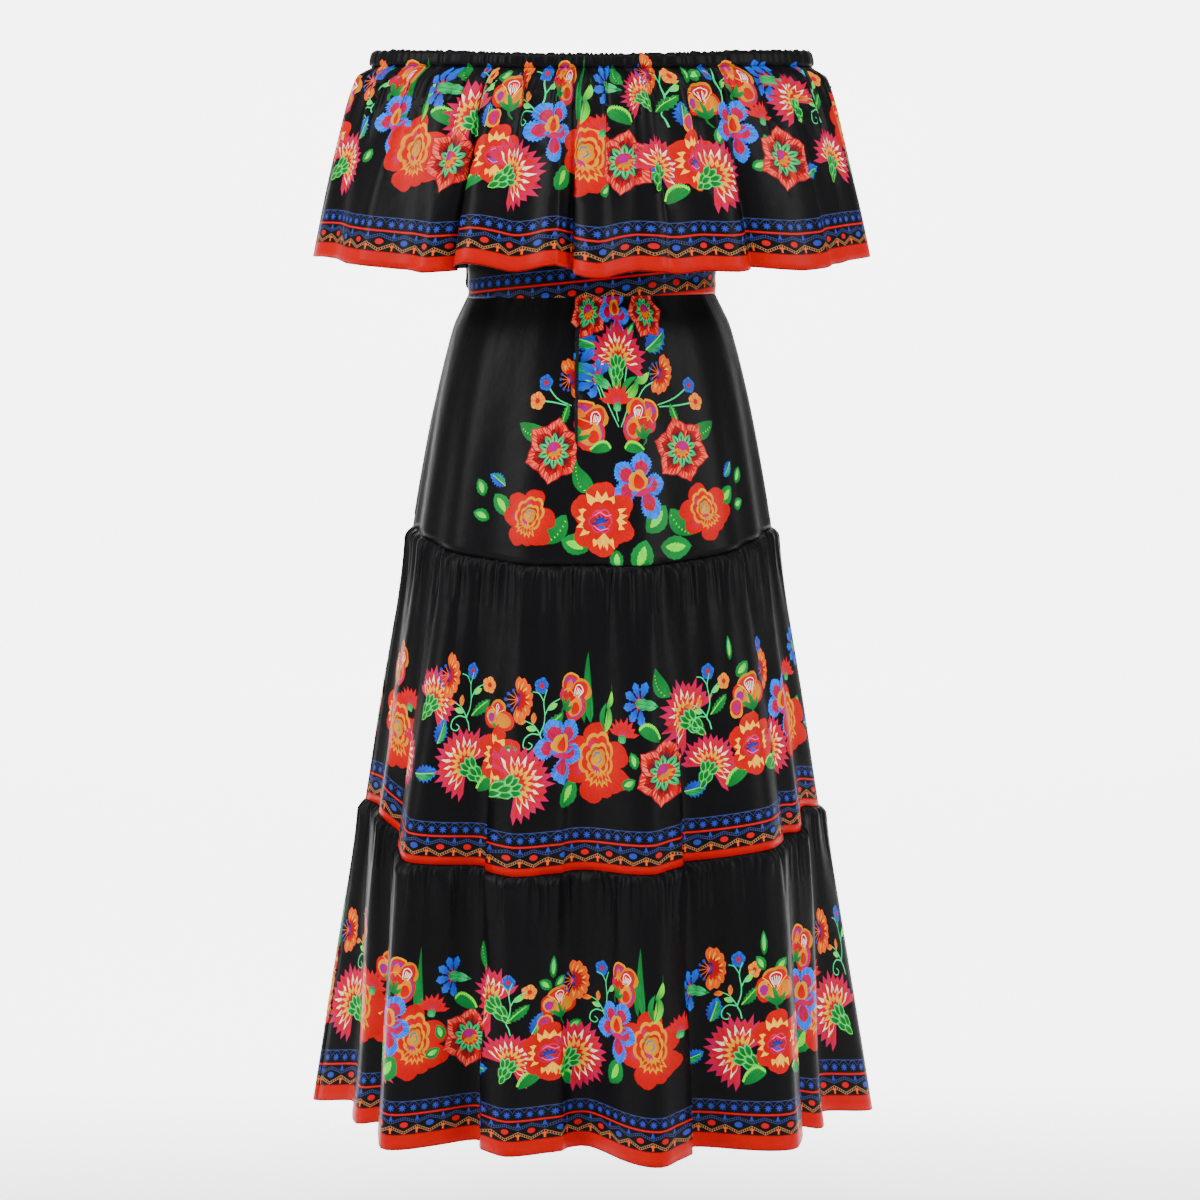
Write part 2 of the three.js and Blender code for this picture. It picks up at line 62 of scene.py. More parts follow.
camera_data = bpy.data.cameras.new("camera")
camera_data.lens = LENS
camera_data.sensor_width = SENSOR_WIDTH
camera_data.clip_end = FAR_LIMIT
camera = bpy.data.objects.new("camera", camera_data)
camera.location = CAMERA_PLACE
camera.rotation_euler = (math.radians(CAMERA_TILT), 0, 0)
bpy.context.scene.collection.objects.link(camera)
bpy.context.scene.camera = camera
print("camera looks down by", round(90 - CAMERA_TILT, 1), "degrees")

# %% [markdown]
# ## The form of the dress
#
# Cloth on a body is close to a stack of rounded rings. The rings are given as tables in millimetres:
# how far down each one lies, its half width and half depth, and how square it is. A second table says
# where the large folds stand out or fall in. A smooth curve through the rows gives the form between
# them, so one function can say where any point of the cloth is.

# %% Curves through tables
def ease(x):
    """Goes from 0 to 1 with a soft start and a soft end."""
    x = np.clip(x, 0, 1)
    return x * x * (3 - 2 * x)


def mix(a, b, share):
    return a + (b - a) * share


def table_at(rows, column, below):
    """A smooth curve through one column of a table, with no overshoot between its rows."""
    x, y = rows[:, 0], rows[:, column]
    slope = np.diff(y) / np.diff(x)
    before, after = slope[:-1], slope[1:]
    same = before * after > 0
    middle = np.where(same, 2 * before * after / np.where(same, before + after, 1), 0)
    tangent = np.concatenate(([slope[0]], middle, [slope[-1]]))
    i = np.clip(np.searchsorted(x, below, side="right") - 1, 0, len(x) - 2)
    span = x[i + 1] - x[i]
    t = np.clip((below - x[i]) / span, 0, 1)
    return ((2 * t**3 - 3 * t**2 + 1) * y[i] + (t**3 - 2 * t**2 + t) * span * tangent[i]
            + (3 * t**2 - 2 * t**3) * y[i + 1] + (t**3 - t**2) * span * tangent[i + 1])


def fold_at(rows, column, degrees):
    """One column of a table of folds, which closes round the ring."""
    at = np.append(rows[:, 0], rows[0, 0] + 360)
    value = np.append(rows[:, column], rows[0, column])
    turn = (degrees - at[0]) % 360 + at[0]
    i = np.clip(np.searchsorted(at, turn, side="right") - 1, 0, len(rows) - 1)
    return mix(value[i], value[i + 1], ease((turn - at[i]) / (at[i + 1] - at[i])))


print("half way along a soft step:", ease(0.5))


# %% Tables of the form
CASING_BOTTOM, FLOUNCE_HEM = 8, 209
WAIST_SEAM, YOKE_SEAM, MIDDLE_SEAM, SKIRT_HEM = 226, 504, 812, 1152
CLOTH = 1.2

# drop, half width, half depth, squareness, how much lower the front hangs, over how many degrees
SKIRT_SECTIONS = np.array([
    (203, 131, 97.5, 2.1, 0, 80), (258, 131.2, 97.8, 2.1, 0, 80), (265, 138, 103, 2.1, 1, 80),
    (281, 147.5, 110, 2.15, 4, 80), (302, 154.5, 117, 2.2, 7, 80), (368, 171, 132, 2.3, 15, 80),
    (456, 188, 147, 2.35, 25, 80), (504, 196, 153, 2.4, 31, 80), (677, 227, 172, 2.5, 37, 62),
    (812, 248, 184, 2.6, 40, 55), (924, 269, 192, 2.6, 31, 55), (1152, 306, 200, 2.6, 8, 55),
])
FLOUNCE_SECTIONS = np.array([
    (-9, 235.5, 121, 2.3, 9, 80), (8, 238, 123, 2.3, 7, 80), (22, 246, 130, 2.3, 8, 75),
    (43, 255, 138, 2.3, 9, 70), (86, 268, 150, 2.3, 11, 60), (129, 279, 160, 2.35, 13, 55),
    (209, 296, 177, 2.4, 17, 50),
])
# degrees from the middle of the front, out and down at the hem, out and down at the seam above
SKIRT_FOLDS = np.array([
    (-92, 8, 0, 4, -8), (-83, -40, -9, -14, -8), (-71, -30, -2, -8, -18), (-65, -48, -9, -20, -9),
    (-51.5, 13, 0, 16, 1), (-38.5, -40, -6, -18, 3), (-23.5, 12, -2, 10, 9), (-3, -28, -4, -14, 5),
    (17, 32, 4, 18, 5), (33, -28, -2, -16, -3), (51.5, 6, 1, 9, -12), (63.5, -44, -6, -16, -11),
    (69, -32, 1, -8, -5), (77, -46, -5, -16, -16), (87, 7, 4, 3, -4), (104, -26, -3, -12, 0),
    (118, 14, 2, 8, 0), (131, -32, -4, -15, 0), (146, 16, 2, 9, 2), (160, -30, -4, -14, 0),
    (176, 20, 3, 11, 2), (191, -26, -3, -12, 0), (207, 17, 2, 10, 1), (221, -31, -4, -15, 0),
    (236, 15, 2, 8, 0), (251, -24, -3, -11, -4),
])
FLOUNCE_FOLDS = np.array([
    (-88, 6, -1), (-76, -8, -4), (-63, 7, -3), (-54, -5, -1), (-47, 9, 2), (-42, -11, 0),
    (-36.5, 12, -8), (-24, 1, 1), (-13, 7, -6), (-6, -10, -2), (1, 11, 8), (16.5, -7, 0),
    (27, 6, 3), (35, -1, 0), (42, 10, 1), (47.5, -11, -4), (59, 6, 1), (72, -6, -2), (84, 6, -2),
    (97, -7, 0), (110, 7, 2), (123, -8, -1), (137, 8, 2), (151, -8, -2), (165, 9, 3), (179, -8, -1),
    (193, 8, 2), (207, -8, -2), (221, 8, 2), (235, -8, -1), (248, 7, 2), (260, -7, 0),
])
# share of the hem's folds that is left at the casing, the waist and the yoke's seam
FOLD_AT_CASING, FOLD_AT_WAIST, FOLD_AT_YOKE = 0.05, 0.01, 0.16
# the hem hangs lower in front as far as the first angle and behind from the second; its share behind
HANG_FRONT, HANG_BACK, HANG_BEHIND = 100, 80, 0.85
print("folds:", len(SKIRT_FOLDS), "round the skirt and", len(FLOUNCE_FOLDS), "round the flounce")


# %% Surfaces of the skirt and of the flounce
def section_radius(degrees, half_width, half_depth, square):
    wide = np.abs(np.sin(np.radians(degrees))) / half_width
    deep = np.abs(np.cos(np.radians(degrees))) / half_depth
    return (wide**square + deep**square) ** (-1 / square)


def section_at(sections, degrees, below):
    return section_radius(degrees, *(table_at(sections, column, below) for column in (1, 2, 3)))


def hang_at(degrees, turn):
    away = np.abs((degrees + 180) % 360 - 180)
    return ease((HANG_FRONT - away) / turn) + HANG_BEHIND * ease((away - HANG_BACK) / turn)


def ring_point(degrees, radius, below):
    """A place in mm, from a turn round the dress, a distance from its middle and a drop."""
    angle = np.radians(degrees)
    return np.stack([radius * np.sin(angle), -radius * np.cos(angle), -below + 0 * angle], -1)


def skirt_fold(degrees, below, hem_column, seam_column):
    hem = fold_at(SKIRT_FOLDS, hem_column, degrees)
    seam = fold_at(SKIRT_FOLDS, seam_column, degrees)
    out = 1 if hem_column == 1 else 0
    yoke, waist = out * FOLD_AT_YOKE * hem, out * FOLD_AT_WAIST * hem
    low = mix(seam, hem, ease((below - MIDDLE_SEAM) / (SKIRT_HEM - MIDDLE_SEAM)))
    middle = mix(yoke, seam, ease((below - YOKE_SEAM) / (MIDDLE_SEAM - YOKE_SEAM)))
    high = mix(waist, yoke, ease((below - WAIST_SEAM) / (YOKE_SEAM - WAIST_SEAM)))
    return np.where(below >= MIDDLE_SEAM, low, np.where(below >= YOKE_SEAM, middle, high))


def skirt_point(degrees, below, push=0):
    radius = section_at(SKIRT_SECTIONS, degrees, below) + skirt_fold(degrees, below, 1, 3) + push
    drop = table_at(SKIRT_SECTIONS, 4, below) * hang_at(degrees, table_at(SKIRT_SECTIONS, 5, below))
    return ring_point(degrees, radius, below + drop + skirt_fold(degrees, below, 2, 4))


def flounce_point(degrees, below, push=0):
    down = ease((below - CASING_BOTTOM) / (FLOUNCE_HEM - CASING_BOTTOM))
    radius = (section_at(FLOUNCE_SECTIONS, degrees, below) + push
              + mix(FOLD_AT_CASING, 1, down) * fold_at(FLOUNCE_FOLDS, 1, degrees))
    hang = hang_at(degrees, table_at(FLOUNCE_SECTIONS, 5, below))
    drop = down * fold_at(FLOUNCE_FOLDS, 2, degrees) + table_at(FLOUNCE_SECTIONS, 4, below) * hang
    return ring_point(degrees, radius, below + drop)


print("skirt at the hem's left:", skirt_point(np.array([90.0]), np.array([SKIRT_HEM]))[0].round(), "mm")

# %% [markdown]
# ## Gathers
#
# A long edge sewn to a short one stands up in gathers. Wide ones run a hand's width down the cloth. On
# top come finer pleats of uneven width, flat in the seam itself, tallest just under it and gone a
# thumb's width or two lower. They could be simulated as cloth, but a few waves added together give
# the same look, the same cloth in every run, and a seam that stays closed.

# %% Gathers under a seam
# crests in a half ring, how far they stand out, how far down they reach
WIDE_GATHERS = {
    "flounce": (18, 9.5, 150),
    "yoke": (6, 2.2, 120),
    "middle_tier": (18, 6.0, 100),
    "bottom_tier": (18, 6.5, 120),
}
# pleats in a half ring, how far they stand out, how far down they reach
FINE_PLEATS = {
    "flounce": (60, 7.5, 48),
    "yoke": (30, 1.6, 26),
    "middle_tier": (50, 8.0, 30),
    "bottom_tier": (54, 8.5, 32),
}


def crest_turn(crests, share):
    """Where a point lies between two crests, as a turn; the crests stand at uneven distances."""
    wander = 0.1 * np.sin(6 * np.pi * share + 1) + 0.07 * np.sin(14 * np.pi * share)
    return 2 * np.pi * (crests * share + wander)


def wide_gathers(kind, share, under):
    """How far the wide gathers stand out; share is the place along the seam, under the drop below it."""
    crests, rise, reach = WIDE_GATHERS[kind]
    wave = (0.5 + 0.5 * np.cos(crest_turn(crests, share))) ** 0.6
    grow = ease(under / 10)
    uneven = 0.75 + 0.25 * np.sin(10 * np.pi * share + 0.6)
    return rise * wave * grow * uneven * np.exp(-np.maximum(0, under - 12) / reach)


def lean(kind, share, under):
    """How far a gather's crest tips sideways, in mm."""
    crests, rise, reach = WIDE_GATHERS[kind]
    tip = np.sin(crest_turn(crests, share)) * np.sin(8 * np.pi * share + 1)
    return 0.75 * rise * tip * ease(under / 25) * np.exp(-under / reach)


def fine_pleats(kind, share, under):
    """How far the fine pleats stand out or fall in, in mm."""
    pleats, rise, reach = FINE_PLEATS[kind]
    turn = 2 * np.pi * share
    phase = (pleats * share + 0.9 * np.sin(7 * turn + 0.4) + 0.6 * np.sin(16 * turn)
             + 0.3 * np.sin(37 * turn))
    wave = np.abs(np.sin(np.pi * phase)) ** 0.65
    tall = 0.75 + 0.25 * np.sin(11 * turn + 2) * np.sin(23 * turn)
    long = reach * (1 + 0.6 * np.sin(13 * turn + 1) * np.sin(29 * turn + 2))
    return rise * (wave - 0.4) * tall * ease(under / 3) * np.exp(-np.maximum(under - 2, 0) / long)


print("pleats round the middle seam:", 2 * FINE_PLEATS["bottom_tier"][0])


# %% Folds that lean over
# degrees from the middle of the front, slide of the cloth in mm, half width in mm
OVERHANGS = {
    "flounce": ((-39, -11, 9), (-2.5, -10, 9), (45, 11, 9), (-13, 7, 8), (22, 7, 8), (64, 8, 9)),
    "yoke": (),
    "middle_tier": ((-59, -9, 9), (-30, -13, 10), (26, 13, 10), (58, 11, 9), (-12, 6, 9)),
    "bottom_tier": ((-59, -13, 10), (-30, -15, 11), (26, 16, 11), (58, 14, 10), (-12, 8, 10)),
}
# mm of cloth in one degree, over the tiers and over the yoke
TIER_DEGREE, YOKE_DEGREE = 4.6, 2.6
# the yoke's crease: mm out or sideways, degrees of its middle, half width in mm
CREASE_RISE, CREASE_SLIDE = (3.4, -4.6, 4.5), (-9.5, -3.0, 6)


def near_to(degrees, middle, half, degree_wide):
    """A smooth hump: 1 at its middle, and nearly nothing two half widths away."""
    return np.exp(-(((degrees - middle) * degree_wide / half) ** 2))


def whole_slide(kind, degrees):
    """The slide of all of a tier's leaning folds together, at its hem."""
    return sum(size * near_to(degrees, middle, half, TIER_DEGREE) for middle, size, half in OVERHANGS[kind])


def slide_at(kind, degrees, under, full):
    """How far the cloth slips sideways over the valley beside it, in mm, so that a fold's edge is crisp."""
    share = under / full
    slide = whole_slide(kind, degrees) * ease((share - 0.1) / 0.7)
    if kind == "bottom_tier":
        slide = slide + whole_slide("middle_tier", degrees) * (1 - ease(share / 0.4))
    return slide


def yoke_crease(degrees, under, size, middle, half):
    """One soft crease runs down the front from under the sash and fades above the hips."""
    fade = ease((under - 46) / 14) * (1 - ease((under - 130) / 130))
    return size * near_to(degrees, middle, half, YOKE_DEGREE) * fade


print("folds that lean over in front:", sum(len(rows) for rows in OVERHANGS.values()))

# %% [markdown]
# ## Drawing the print
#
# The print is drawn on flat cloth, as a textile designer would: every petal and leaf is a closed
# outline in millimetres, laid over the ones before it. Each shape has an ink that changes from its
# root outwards, and thread-like lines in a second ink that run out from the root as in embroidery.

# %% Inks
def ink(code):
    """A colour as the material takes it, from its six hexadecimal digits."""
    values = [int(code[i:i + 2], 16) / 255 for i in (0, 2, 4)]
    return np.array([v / 12.92 if v <= 0.04045 else ((v + 0.055) / 1.055) ** 2.4 for v in values])


RED, SCARLET, CRIMSON, WINE = ink("ac0101"), ink("bd0401"), ink("930b19"), ink("4a1015")
PINK, MAGENTA, ORANGE, RUST = ink("ae0146"), ink("a10163"), ink("d95301"), ink("aa3710")
GOLD, YELLOW, CREAM, PALE = ink("b67001"), ink("ce8a01"), ink("f7bc2c"), ink("f7f7f4")
BLUE, SKY, NAVY, TEAL = ink("25319a"), ink("015acf"), ink("191745"), ink("096c80")
GREEN, LEAF, LIME, MINT = ink("0e6126"), ink("017732"), ink("69e419"), ink("02c871")
PURPLE, BLACK = ink("7b127a"), ink("181719")
CORAL, AZURE, ROSE_PINK, HOT_PINK = ink("f77860"), ink("017af7"), ink("ec0182"), ink("f72dac")
CHERRY = ink("c2011f")
print("the red ink in the light of the scene:", RED.round(2))


# %% Outlines
LOBE_STEPS = 5


def disc(wide, high, centre=(0, 0), steps=14):
    a = np.linspace(0, 2 * np.pi, steps, endpoint=False)
    return np.stack([centre[0] + wide * np.sin(a), centre[1] + high * np.cos(a)], -1)


def blob(wide, high, lobes, depth, centre=(0, 0), turn=0):
    """A round shape with a lobed rim; depth is how far the rim falls in between two lobes."""
    a = np.linspace(0, 2 * np.pi, lobes * LOBE_STEPS, endpoint=False)
    wave = np.abs(np.sin(lobes * a / 2 + 0.02)) ** 0.7
    r = (1 - depth * (1 - wave)) * (1 + 0.06 * np.sin(2 * a + 1) + 0.04 * np.sin(3 * a))
    b = a + math.radians(turn)
    return np.stack([centre[0] + wide * r * np.sin(b), centre[1] + high * r * np.cos(b)], -1)


def spikes(radius, count, depth, start, end, centre=(0, 0), root=2.0):
    """A fan of points from start to end degrees, clockwise from straight up."""
    a = np.radians(np.linspace(start, end, 2 * count + 1))
    k = np.arange(2 * count + 1)
    wave = 1 + 0.07 * np.sin(2.3 * k) + 0.04 * np.sin(5.1 * k + 1)
    r = np.where(k % 2 == 1, radius * wave, radius * (1 - depth))
    r[0] = r[-1] = radius * (1 - depth)
    fan = np.stack([centre[0] + r * np.sin(a), centre[1] + r * np.cos(a)], -1)
    back = a[[-1, 0]]
    close = np.stack([centre[0] + root * np.sin(back), centre[1] + root * np.cos(back)], -1)
    return np.concatenate([fan, close])


def blade(start, tip, width, bend=0.0, belly=0.5, teeth=0, depth=0.3, sides=(1, 1), steps=9):
    """A leaf or petal from start to tip; bend moves its middle sideways, and teeth notch its rim."""
    start, tip = np.array(start, float), np.array(tip, float)
    steps = max(steps, 2 * teeth + 1)
    t = np.linspace(0, 1, steps + 1)
    along = tip - start
    length = np.linalg.norm(along)
    side = np.array([along[1], -along[0]]) / length
    middle = start + along * t[:, None] + side * (bend * length * 4 * t * (1 - t))[:, None]
    half = width / 2 * np.sin(np.pi * t ** (math.log(0.5) / math.log(belly))) ** 0.75
    if teeth:
        half = half * np.where(np.arange(steps + 1) % 2 == 1, 1, 1 - depth)
    right = middle + side * (half * sides[0])[:, None]
    left = middle - side * (half * sides[1])[:, None]
    return np.concatenate([right, left[-2:0:-1]])


def line(points, width, end=None, steps=6):
    """A ribbon along a smooth curve through the points."""
    p = np.array(points, float)
    t = np.linspace(0, len(p) - 1, steps * (len(p) - 1) + 1)
    i = np.clip(t.astype(int), 0, len(p) - 2)
    f = (t - i)[:, None]
    slope = np.gradient(p, axis=0)
    curve = ((2 * f**3 - 3 * f**2 + 1) * p[i] + (f**3 - 2 * f**2 + f) * slope[i]
             + (3 * f**2 - 2 * f**3) * p[i + 1] + (f**3 - f**2) * slope[i + 1])
    run = np.gradient(curve, axis=0)
    side = np.stack([run[:, 1], -run[:, 0]], -1) / np.maximum(np.linalg.norm(run, axis=1), 1e-9)[:, None]
    half = np.linspace(width, end if end else width, len(curve))[:, None] / 2
    return np.concatenate([curve + side * half, (curve - side * half)[::-1]])


print("points round a leaf with five teeth:", len(blade((0, 0), (0, 30), 12, teeth=5)))


# %% The cloth as a drawing board
class Board:
    """Flat cloth with the shapes laid on it; across and up are in millimetres, up from the hem."""

    def __init__(self):
        self.shapes = []
        self.place(0, 0)

    def place(self, across, up, turn=0, size=1.0, flip=1):
        self.origin, self.turn = np.array([across, up], float), math.radians(turn)
        self.size, self.flip = size, flip

    def to_cloth(self, points):
        p = np.array(points, float) * (self.flip, 1)
        c, s = math.cos(self.turn), math.sin(self.turn)
        turned = np.stack([p[..., 0] * c + p[..., 1] * s, p[..., 1] * c - p[..., 0] * s], -1)
        return self.origin + self.size * turned

    def lay(self, outline, near, far=None, root=(0, 0), reach=(0, 30), thread=None, amount=0.0):
        """Lays a shape whose ink goes from near to far over the reach from its root."""
        self.shapes.append({
            "outline": self.to_cloth(outline), "near": near, "far": near if far is None else far,
            "root": self.to_cloth(root), "reach": (reach[0] * self.size, reach[1] * self.size),
            "thread": near if thread is None else thread, "amount": amount,
        })

    def petal(self, start, tip, width, near, far=None, reach=(0, 30), thread=None, amount=0.0, **form):
        """Lays a blade whose ink starts from its own root."""
        self.lay(blade(start, tip, width, **form), near, far, start, reach, thread, amount)


def count_shapes(*kinds):
    """Prints how many shapes each kind of motif is made of."""
    for kind in kinds:
        board = Board()
        kind(board)
        print(kind.__name__.replace("_", " ") + ":", len(board.shapes), "shapes")


print("an empty board holds", len(Board().shapes), "shapes")

# %% [markdown]
# ## Leaves, buds and stems
#
# Each kind of leaf is a function that draws it round the point 0, 0, so it can be laid down anywhere,
# turned, mirrored or made larger. They are two or three blades in different greens.

# %% Leaves
def small_leaf(b):
    b.petal((0, -9), (1, 9), 13, GREEN, LEAF, bend=0.05, belly=0.45, teeth=4, depth=0.12, reach=(0, 18),
            thread=LEAF, amount=0.5)
    b.petal((0, -6), (1, 6.5), 6, LIME, LEAF, bend=0.05, teeth=4, depth=0.2, reach=(4, 16), thread=MINT,
            amount=0.5)


def broad_leaf(b):
    b.petal((-2, -17), (4, 17), 25, GREEN, LEAF, bend=0.04, belly=0.5, teeth=5, depth=0.07, reach=(0, 34),
            thread=LEAF, amount=0.6)
    b.lay(blade((-1, -11), (3, 11), 10, bend=0.04, teeth=5, depth=0.2), LIME, root=(0, -14), reach=(0, 24),
          thread=LEAF, amount=0.35)


def dark_leaf(b):
    b.petal((8, -16), (-8, 17), 19, LEAF, GREEN, bend=-0.12, belly=0.45, reach=(6, 34), thread=GREEN,
            amount=0.6)
    for k in range(7):
        t = 0.14 + 0.11 * k
        x, y = 8 - 16 * t - 5.6 * math.sin(math.pi * t), -16 + 33 * t - 1.4
        b.lay(blade((x, y), (x - 2.2, y - 0.6), 1), LIME)


def blade_leaf(b):
    b.petal((4, -36), (2, 39), 9.5, LEAF, GREEN, bend=-0.03, belly=0.3, reach=(0, 75), thread=GREEN,
            amount=0.55)
    b.petal((-3, -36), (-4, 10), 6, GREEN, LEAF, bend=-0.03, belly=0.4, reach=(0, 45))
    b.lay(line([(4, -34), (3.4, 0), (2.4, 30)], 0.7, 0.4, steps=2), GREEN)


def twisted_leaf(b):
    b.petal((-4, -25), (1, 4), 10, LIME, LEAF, bend=0.12, belly=0.5, reach=(4, 30), thread=GREEN, amount=0.3)
    b.lay(blade((-4, -24), (-2, 6), 6.5, bend=-0.16, belly=0.5), GREEN, LEAF, root=(-4, -25), reach=(0, 28))
    b.petal((-2, 0), (7, 19), 8, LEAF, LIME, bend=0.14, belly=0.45, reach=(0, 20))
    b.lay(line([(6, 16), (7.4, 21), (7, 26)], 0.9, 0.4, steps=3), GREEN)
    b.lay(line([(-3.4, -22), (0, -10), (0, -1)], 0.8, 0.5, steps=3), BLACK)


def fringed_leaf(b):
    b.petal((13, -10), (-13, 3), 14, GREEN, LEAF, bend=0.13, belly=0.5, reach=(0, 28), thread=GREEN,
            amount=0.6)
    rim = [(-12, 4), (-5, 9), (3, 8), (10, 2), (14, -7)]
    b.lay(line(rim, 2.2, 2.6, steps=3), LIME)
    for k in range(13):
        t = k / 12
        x, y = -12 + 26 * t, 4 + 22 * t - 33 * t * t
        b.lay(blade((x, y - 1), (x + 1.4 - 2 * t, y + 4.4), 1.5, steps=4), LIME, LEAF, root=(x, y),
              reach=(1, 8))


def saw_leaf(b):
    b.petal((-13, -3), (14, 3), 20, BLUE, SKY, bend=0.03, belly=0.45, teeth=6, depth=0.34, reach=(0, 30),
            thread=NAVY, amount=0.4)
    b.petal((-13, -3), (12, 1), 16, LEAF, GREEN, belly=0.45, teeth=6, depth=0.3, sides=(1, 0.1),
            reach=(0, 26), thread=MINT, amount=0.35)
    b.lay(line([(-13, -3), (0, -1), (10, 1)], 1.1, 0.6, steps=3), LIME)


def green_saw_leaf(b):
    b.petal((-11, -9), (12, 10), 13, GREEN, LEAF, bend=0.03, belly=0.5, teeth=6, depth=0.3, reach=(0, 28),
            thread=GREEN, amount=0.5)
    b.lay(line([(-11, -9), (0, 1), (9, 8)], 1.2, 0.6, steps=3), LIME)
    for k in range(3):
        t = 0.25 + 0.2 * k
        x, y = -11 + 23 * t, -9 + 19 * t
        b.lay(line([(x, y), (x + 0.6, y + 3.4)], 0.6, 0.4, steps=2), LIME)


def bud_leaf(b):
    b.petal((0, -12), (1, 14), 9, GREEN, LEAF, belly=0.42, teeth=3, depth=0.1, reach=(0, 24))
    b.petal((0, -8), (1, 10), 4.5, LIME, MINT, belly=0.45, reach=(0, 18), thread=LEAF, amount=0.4)


count_shapes(small_leaf, broad_leaf, dark_leaf, blade_leaf, twisted_leaf, fringed_leaf, saw_leaf)
count_shapes(green_saw_leaf, bud_leaf)

# %% [markdown]
# ## Sprigs and small flowers
#
# Thin stems with a bud, a curl or a five-petalled flower fill the gaps between the large flowers. A
# stem is a ribbon along a smooth curve, a little thinner at its end.

# %% Stems with buds and a tendril
def stem_leaf(b, x, y, turn, long=13):
    a = math.radians(turn)
    tip = (x + long * math.sin(a), y + long * math.cos(a))
    b.petal((x, y), tip, long * 0.5, MINT, LIME, reach=(0, long), thread=LEAF, amount=0.3)


def sprig(b, buds=True):
    b.lay(line([(5, -14), (3, -6), (0, 0), (4, 10), (5, 20), (3, 34), (7, 46)], 1.7, 1.2), MINT)
    b.lay(line([(5, 20), (12, 30), (22, 36)], 1.5, 1.1), MINT)
    b.lay(line([(3, 34), (-3, 42), (-10, 44)], 1.3, 1.0), MINT)
    stem_leaf(b, 8, 25, 62, 13)
    if buds:
        b.lay(line([(0, 0), (-8, 10), (-18, 15)], 1.4, 1.0), MINT)
        stem_leaf(b, -4, 5, -76, 12)
        b.petal((-8, 11), (-8, 23), 6, ORANGE, RUST, reach=(0, 11), thread=CREAM, amount=0.3)
        b.petal((-16, 14), (-27, 13), 6, ORANGE, RUST, reach=(0, 11), thread=CREAM, amount=0.3)
        curl = [(-1, 0), (-10, 1), (-17, -4), (-18, -12), (-12, -14.5), (-8.5, -10.5), (-12.5, -7.5)]
        b.lay(line(curl, 1.5, 1.1, steps=5), MINT)


def bare_sprig(b):
    sprig(b, buds=False)


def small_flower(b, petals, heart):
    for k in range(5):
        a = math.radians(72 * k + 10)
        tip = (9 * math.sin(a), 9 * math.cos(a))
        b.lay(blade((0.6 * math.sin(a), 0.6 * math.cos(a)), tip, 8.6, belly=0.62), petals[0], petals[1],
              reach=(1, 9), thread=petals[2], amount=0.55)
    b.lay(disc(2.8, 2.8, steps=9), heart)


def blue_flower(b):
    small_flower(b, (BLUE, SKY, NAVY), RED)


def orange_flower(b):
    small_flower(b, (RUST, ORANGE, CREAM), RED)


count_shapes(sprig, bare_sprig, blue_flower, orange_flower)

# %% [markdown]
# ## Flowers
#
# The large flowers are built up from the back: the outer petals first, then rows of smaller and
# brighter ones, and the heart last. A carnation is a stack of jagged fans, an anemone six notched
# petals with a green star, a peony and a rose are lobed discs inside each other.

# %% Carnations
def calyx(b, long=30, wide=22):
    b.lay(blade((0, 3), (0, -long), wide, belly=0.42, teeth=4, depth=0.2), GREEN, LEAF, root=(0, -long),
          reach=(0, long), thread=LEAF, amount=0.4)
    scale = 8
    for x, y in ((-12, 3), (-5, 7), (4, 7), (11, 3), (-8, -8), (7, -9), (0, -5), (-2, -17)):
        root = (x * 0.35, y - 15)
        b.petal(root, (x, y), scale, LIME, MINT, reach=(2, 16), thread=LEAF, amount=0.5)
        inner = blade((x * 0.42, y - 14), (x * 0.93, y - 2.0), scale * 0.72, steps=6)
        b.lay(inner, GREEN, LEAF, root=root, reach=(6, 18))


def carnation(b):
    b.lay(spikes(41, 19, 0.19, -128, 116), PINK, PINK, reach=(20, 34), thread=RED, amount=0.3)
    b.lay(spikes(34, 15, 0.2, -124, 110), PINK, SCARLET, reach=(12, 32), thread=CRIMSON, amount=0.4)
    b.lay(spikes(30, 12, 0.34, -116, 102), CREAM, PALE, reach=(14, 28), thread=RED, amount=0.35)
    b.lay(spikes(25, 13, 0.24, -114, 98), RED, SCARLET, reach=(6, 24), thread=PINK, amount=0.4)
    b.lay(spikes(22, 9, 0.4, -106, 92), GOLD, CREAM, reach=(5, 20), thread=ORANGE, amount=0.5)
    b.lay(spikes(13, 7, 0.3, -100, 86), RED, SCARLET, reach=(2, 13), thread=CRIMSON, amount=0.5)
    calyx(b)


def small_carnation(b):
    b.lay(spikes(21, 8, 0.3, -84, 84, centre=(0, -8)), SCARLET, CHERRY, root=(0, -8), reach=(6, 22),
          thread=CRIMSON, amount=0.4)
    b.lay(spikes(12, 5, 0.4, -60, 60, centre=(0, -8)), PINK, RED, root=(0, -8), reach=(2, 12))
    b.lay(blob(5.5, 4.5, 4, 0.15, centre=(0, -10)), MINT, LEAF, root=(0, -12), reach=(0, 7), thread=GREEN,
          amount=0.4)


def cornflower(b):
    for k in range(6):
        a = math.radians(-100 + 40 * k)
        tip = (24 * math.sin(a), 22 * math.cos(a))
        b.lay(blade((3 * math.sin(a), 3 * math.cos(a)), tip, 10.5, belly=0.68, teeth=2, depth=0.25), BLUE,
              SKY, reach=(4, 22), thread=NAVY, amount=0.3)
    b.lay(spikes(9, 5, 0.4, -90, 90), CRIMSON, RED, reach=(0, 9))
    b.lay(blade((0, 7), (0, -24), 13, belly=0.35, teeth=3, depth=0.2), GREEN, LEAF, root=(0, -24),
          reach=(0, 30), thread=MINT, amount=0.35)
    for x in (-4, 4):
        b.lay(blade((x * 0.4, -20), (x, -3), 5), MINT, LEAF, root=(0, -20), reach=(2, 18), thread=GREEN,
              amount=0.5)


count_shapes(carnation, small_carnation, cornflower)


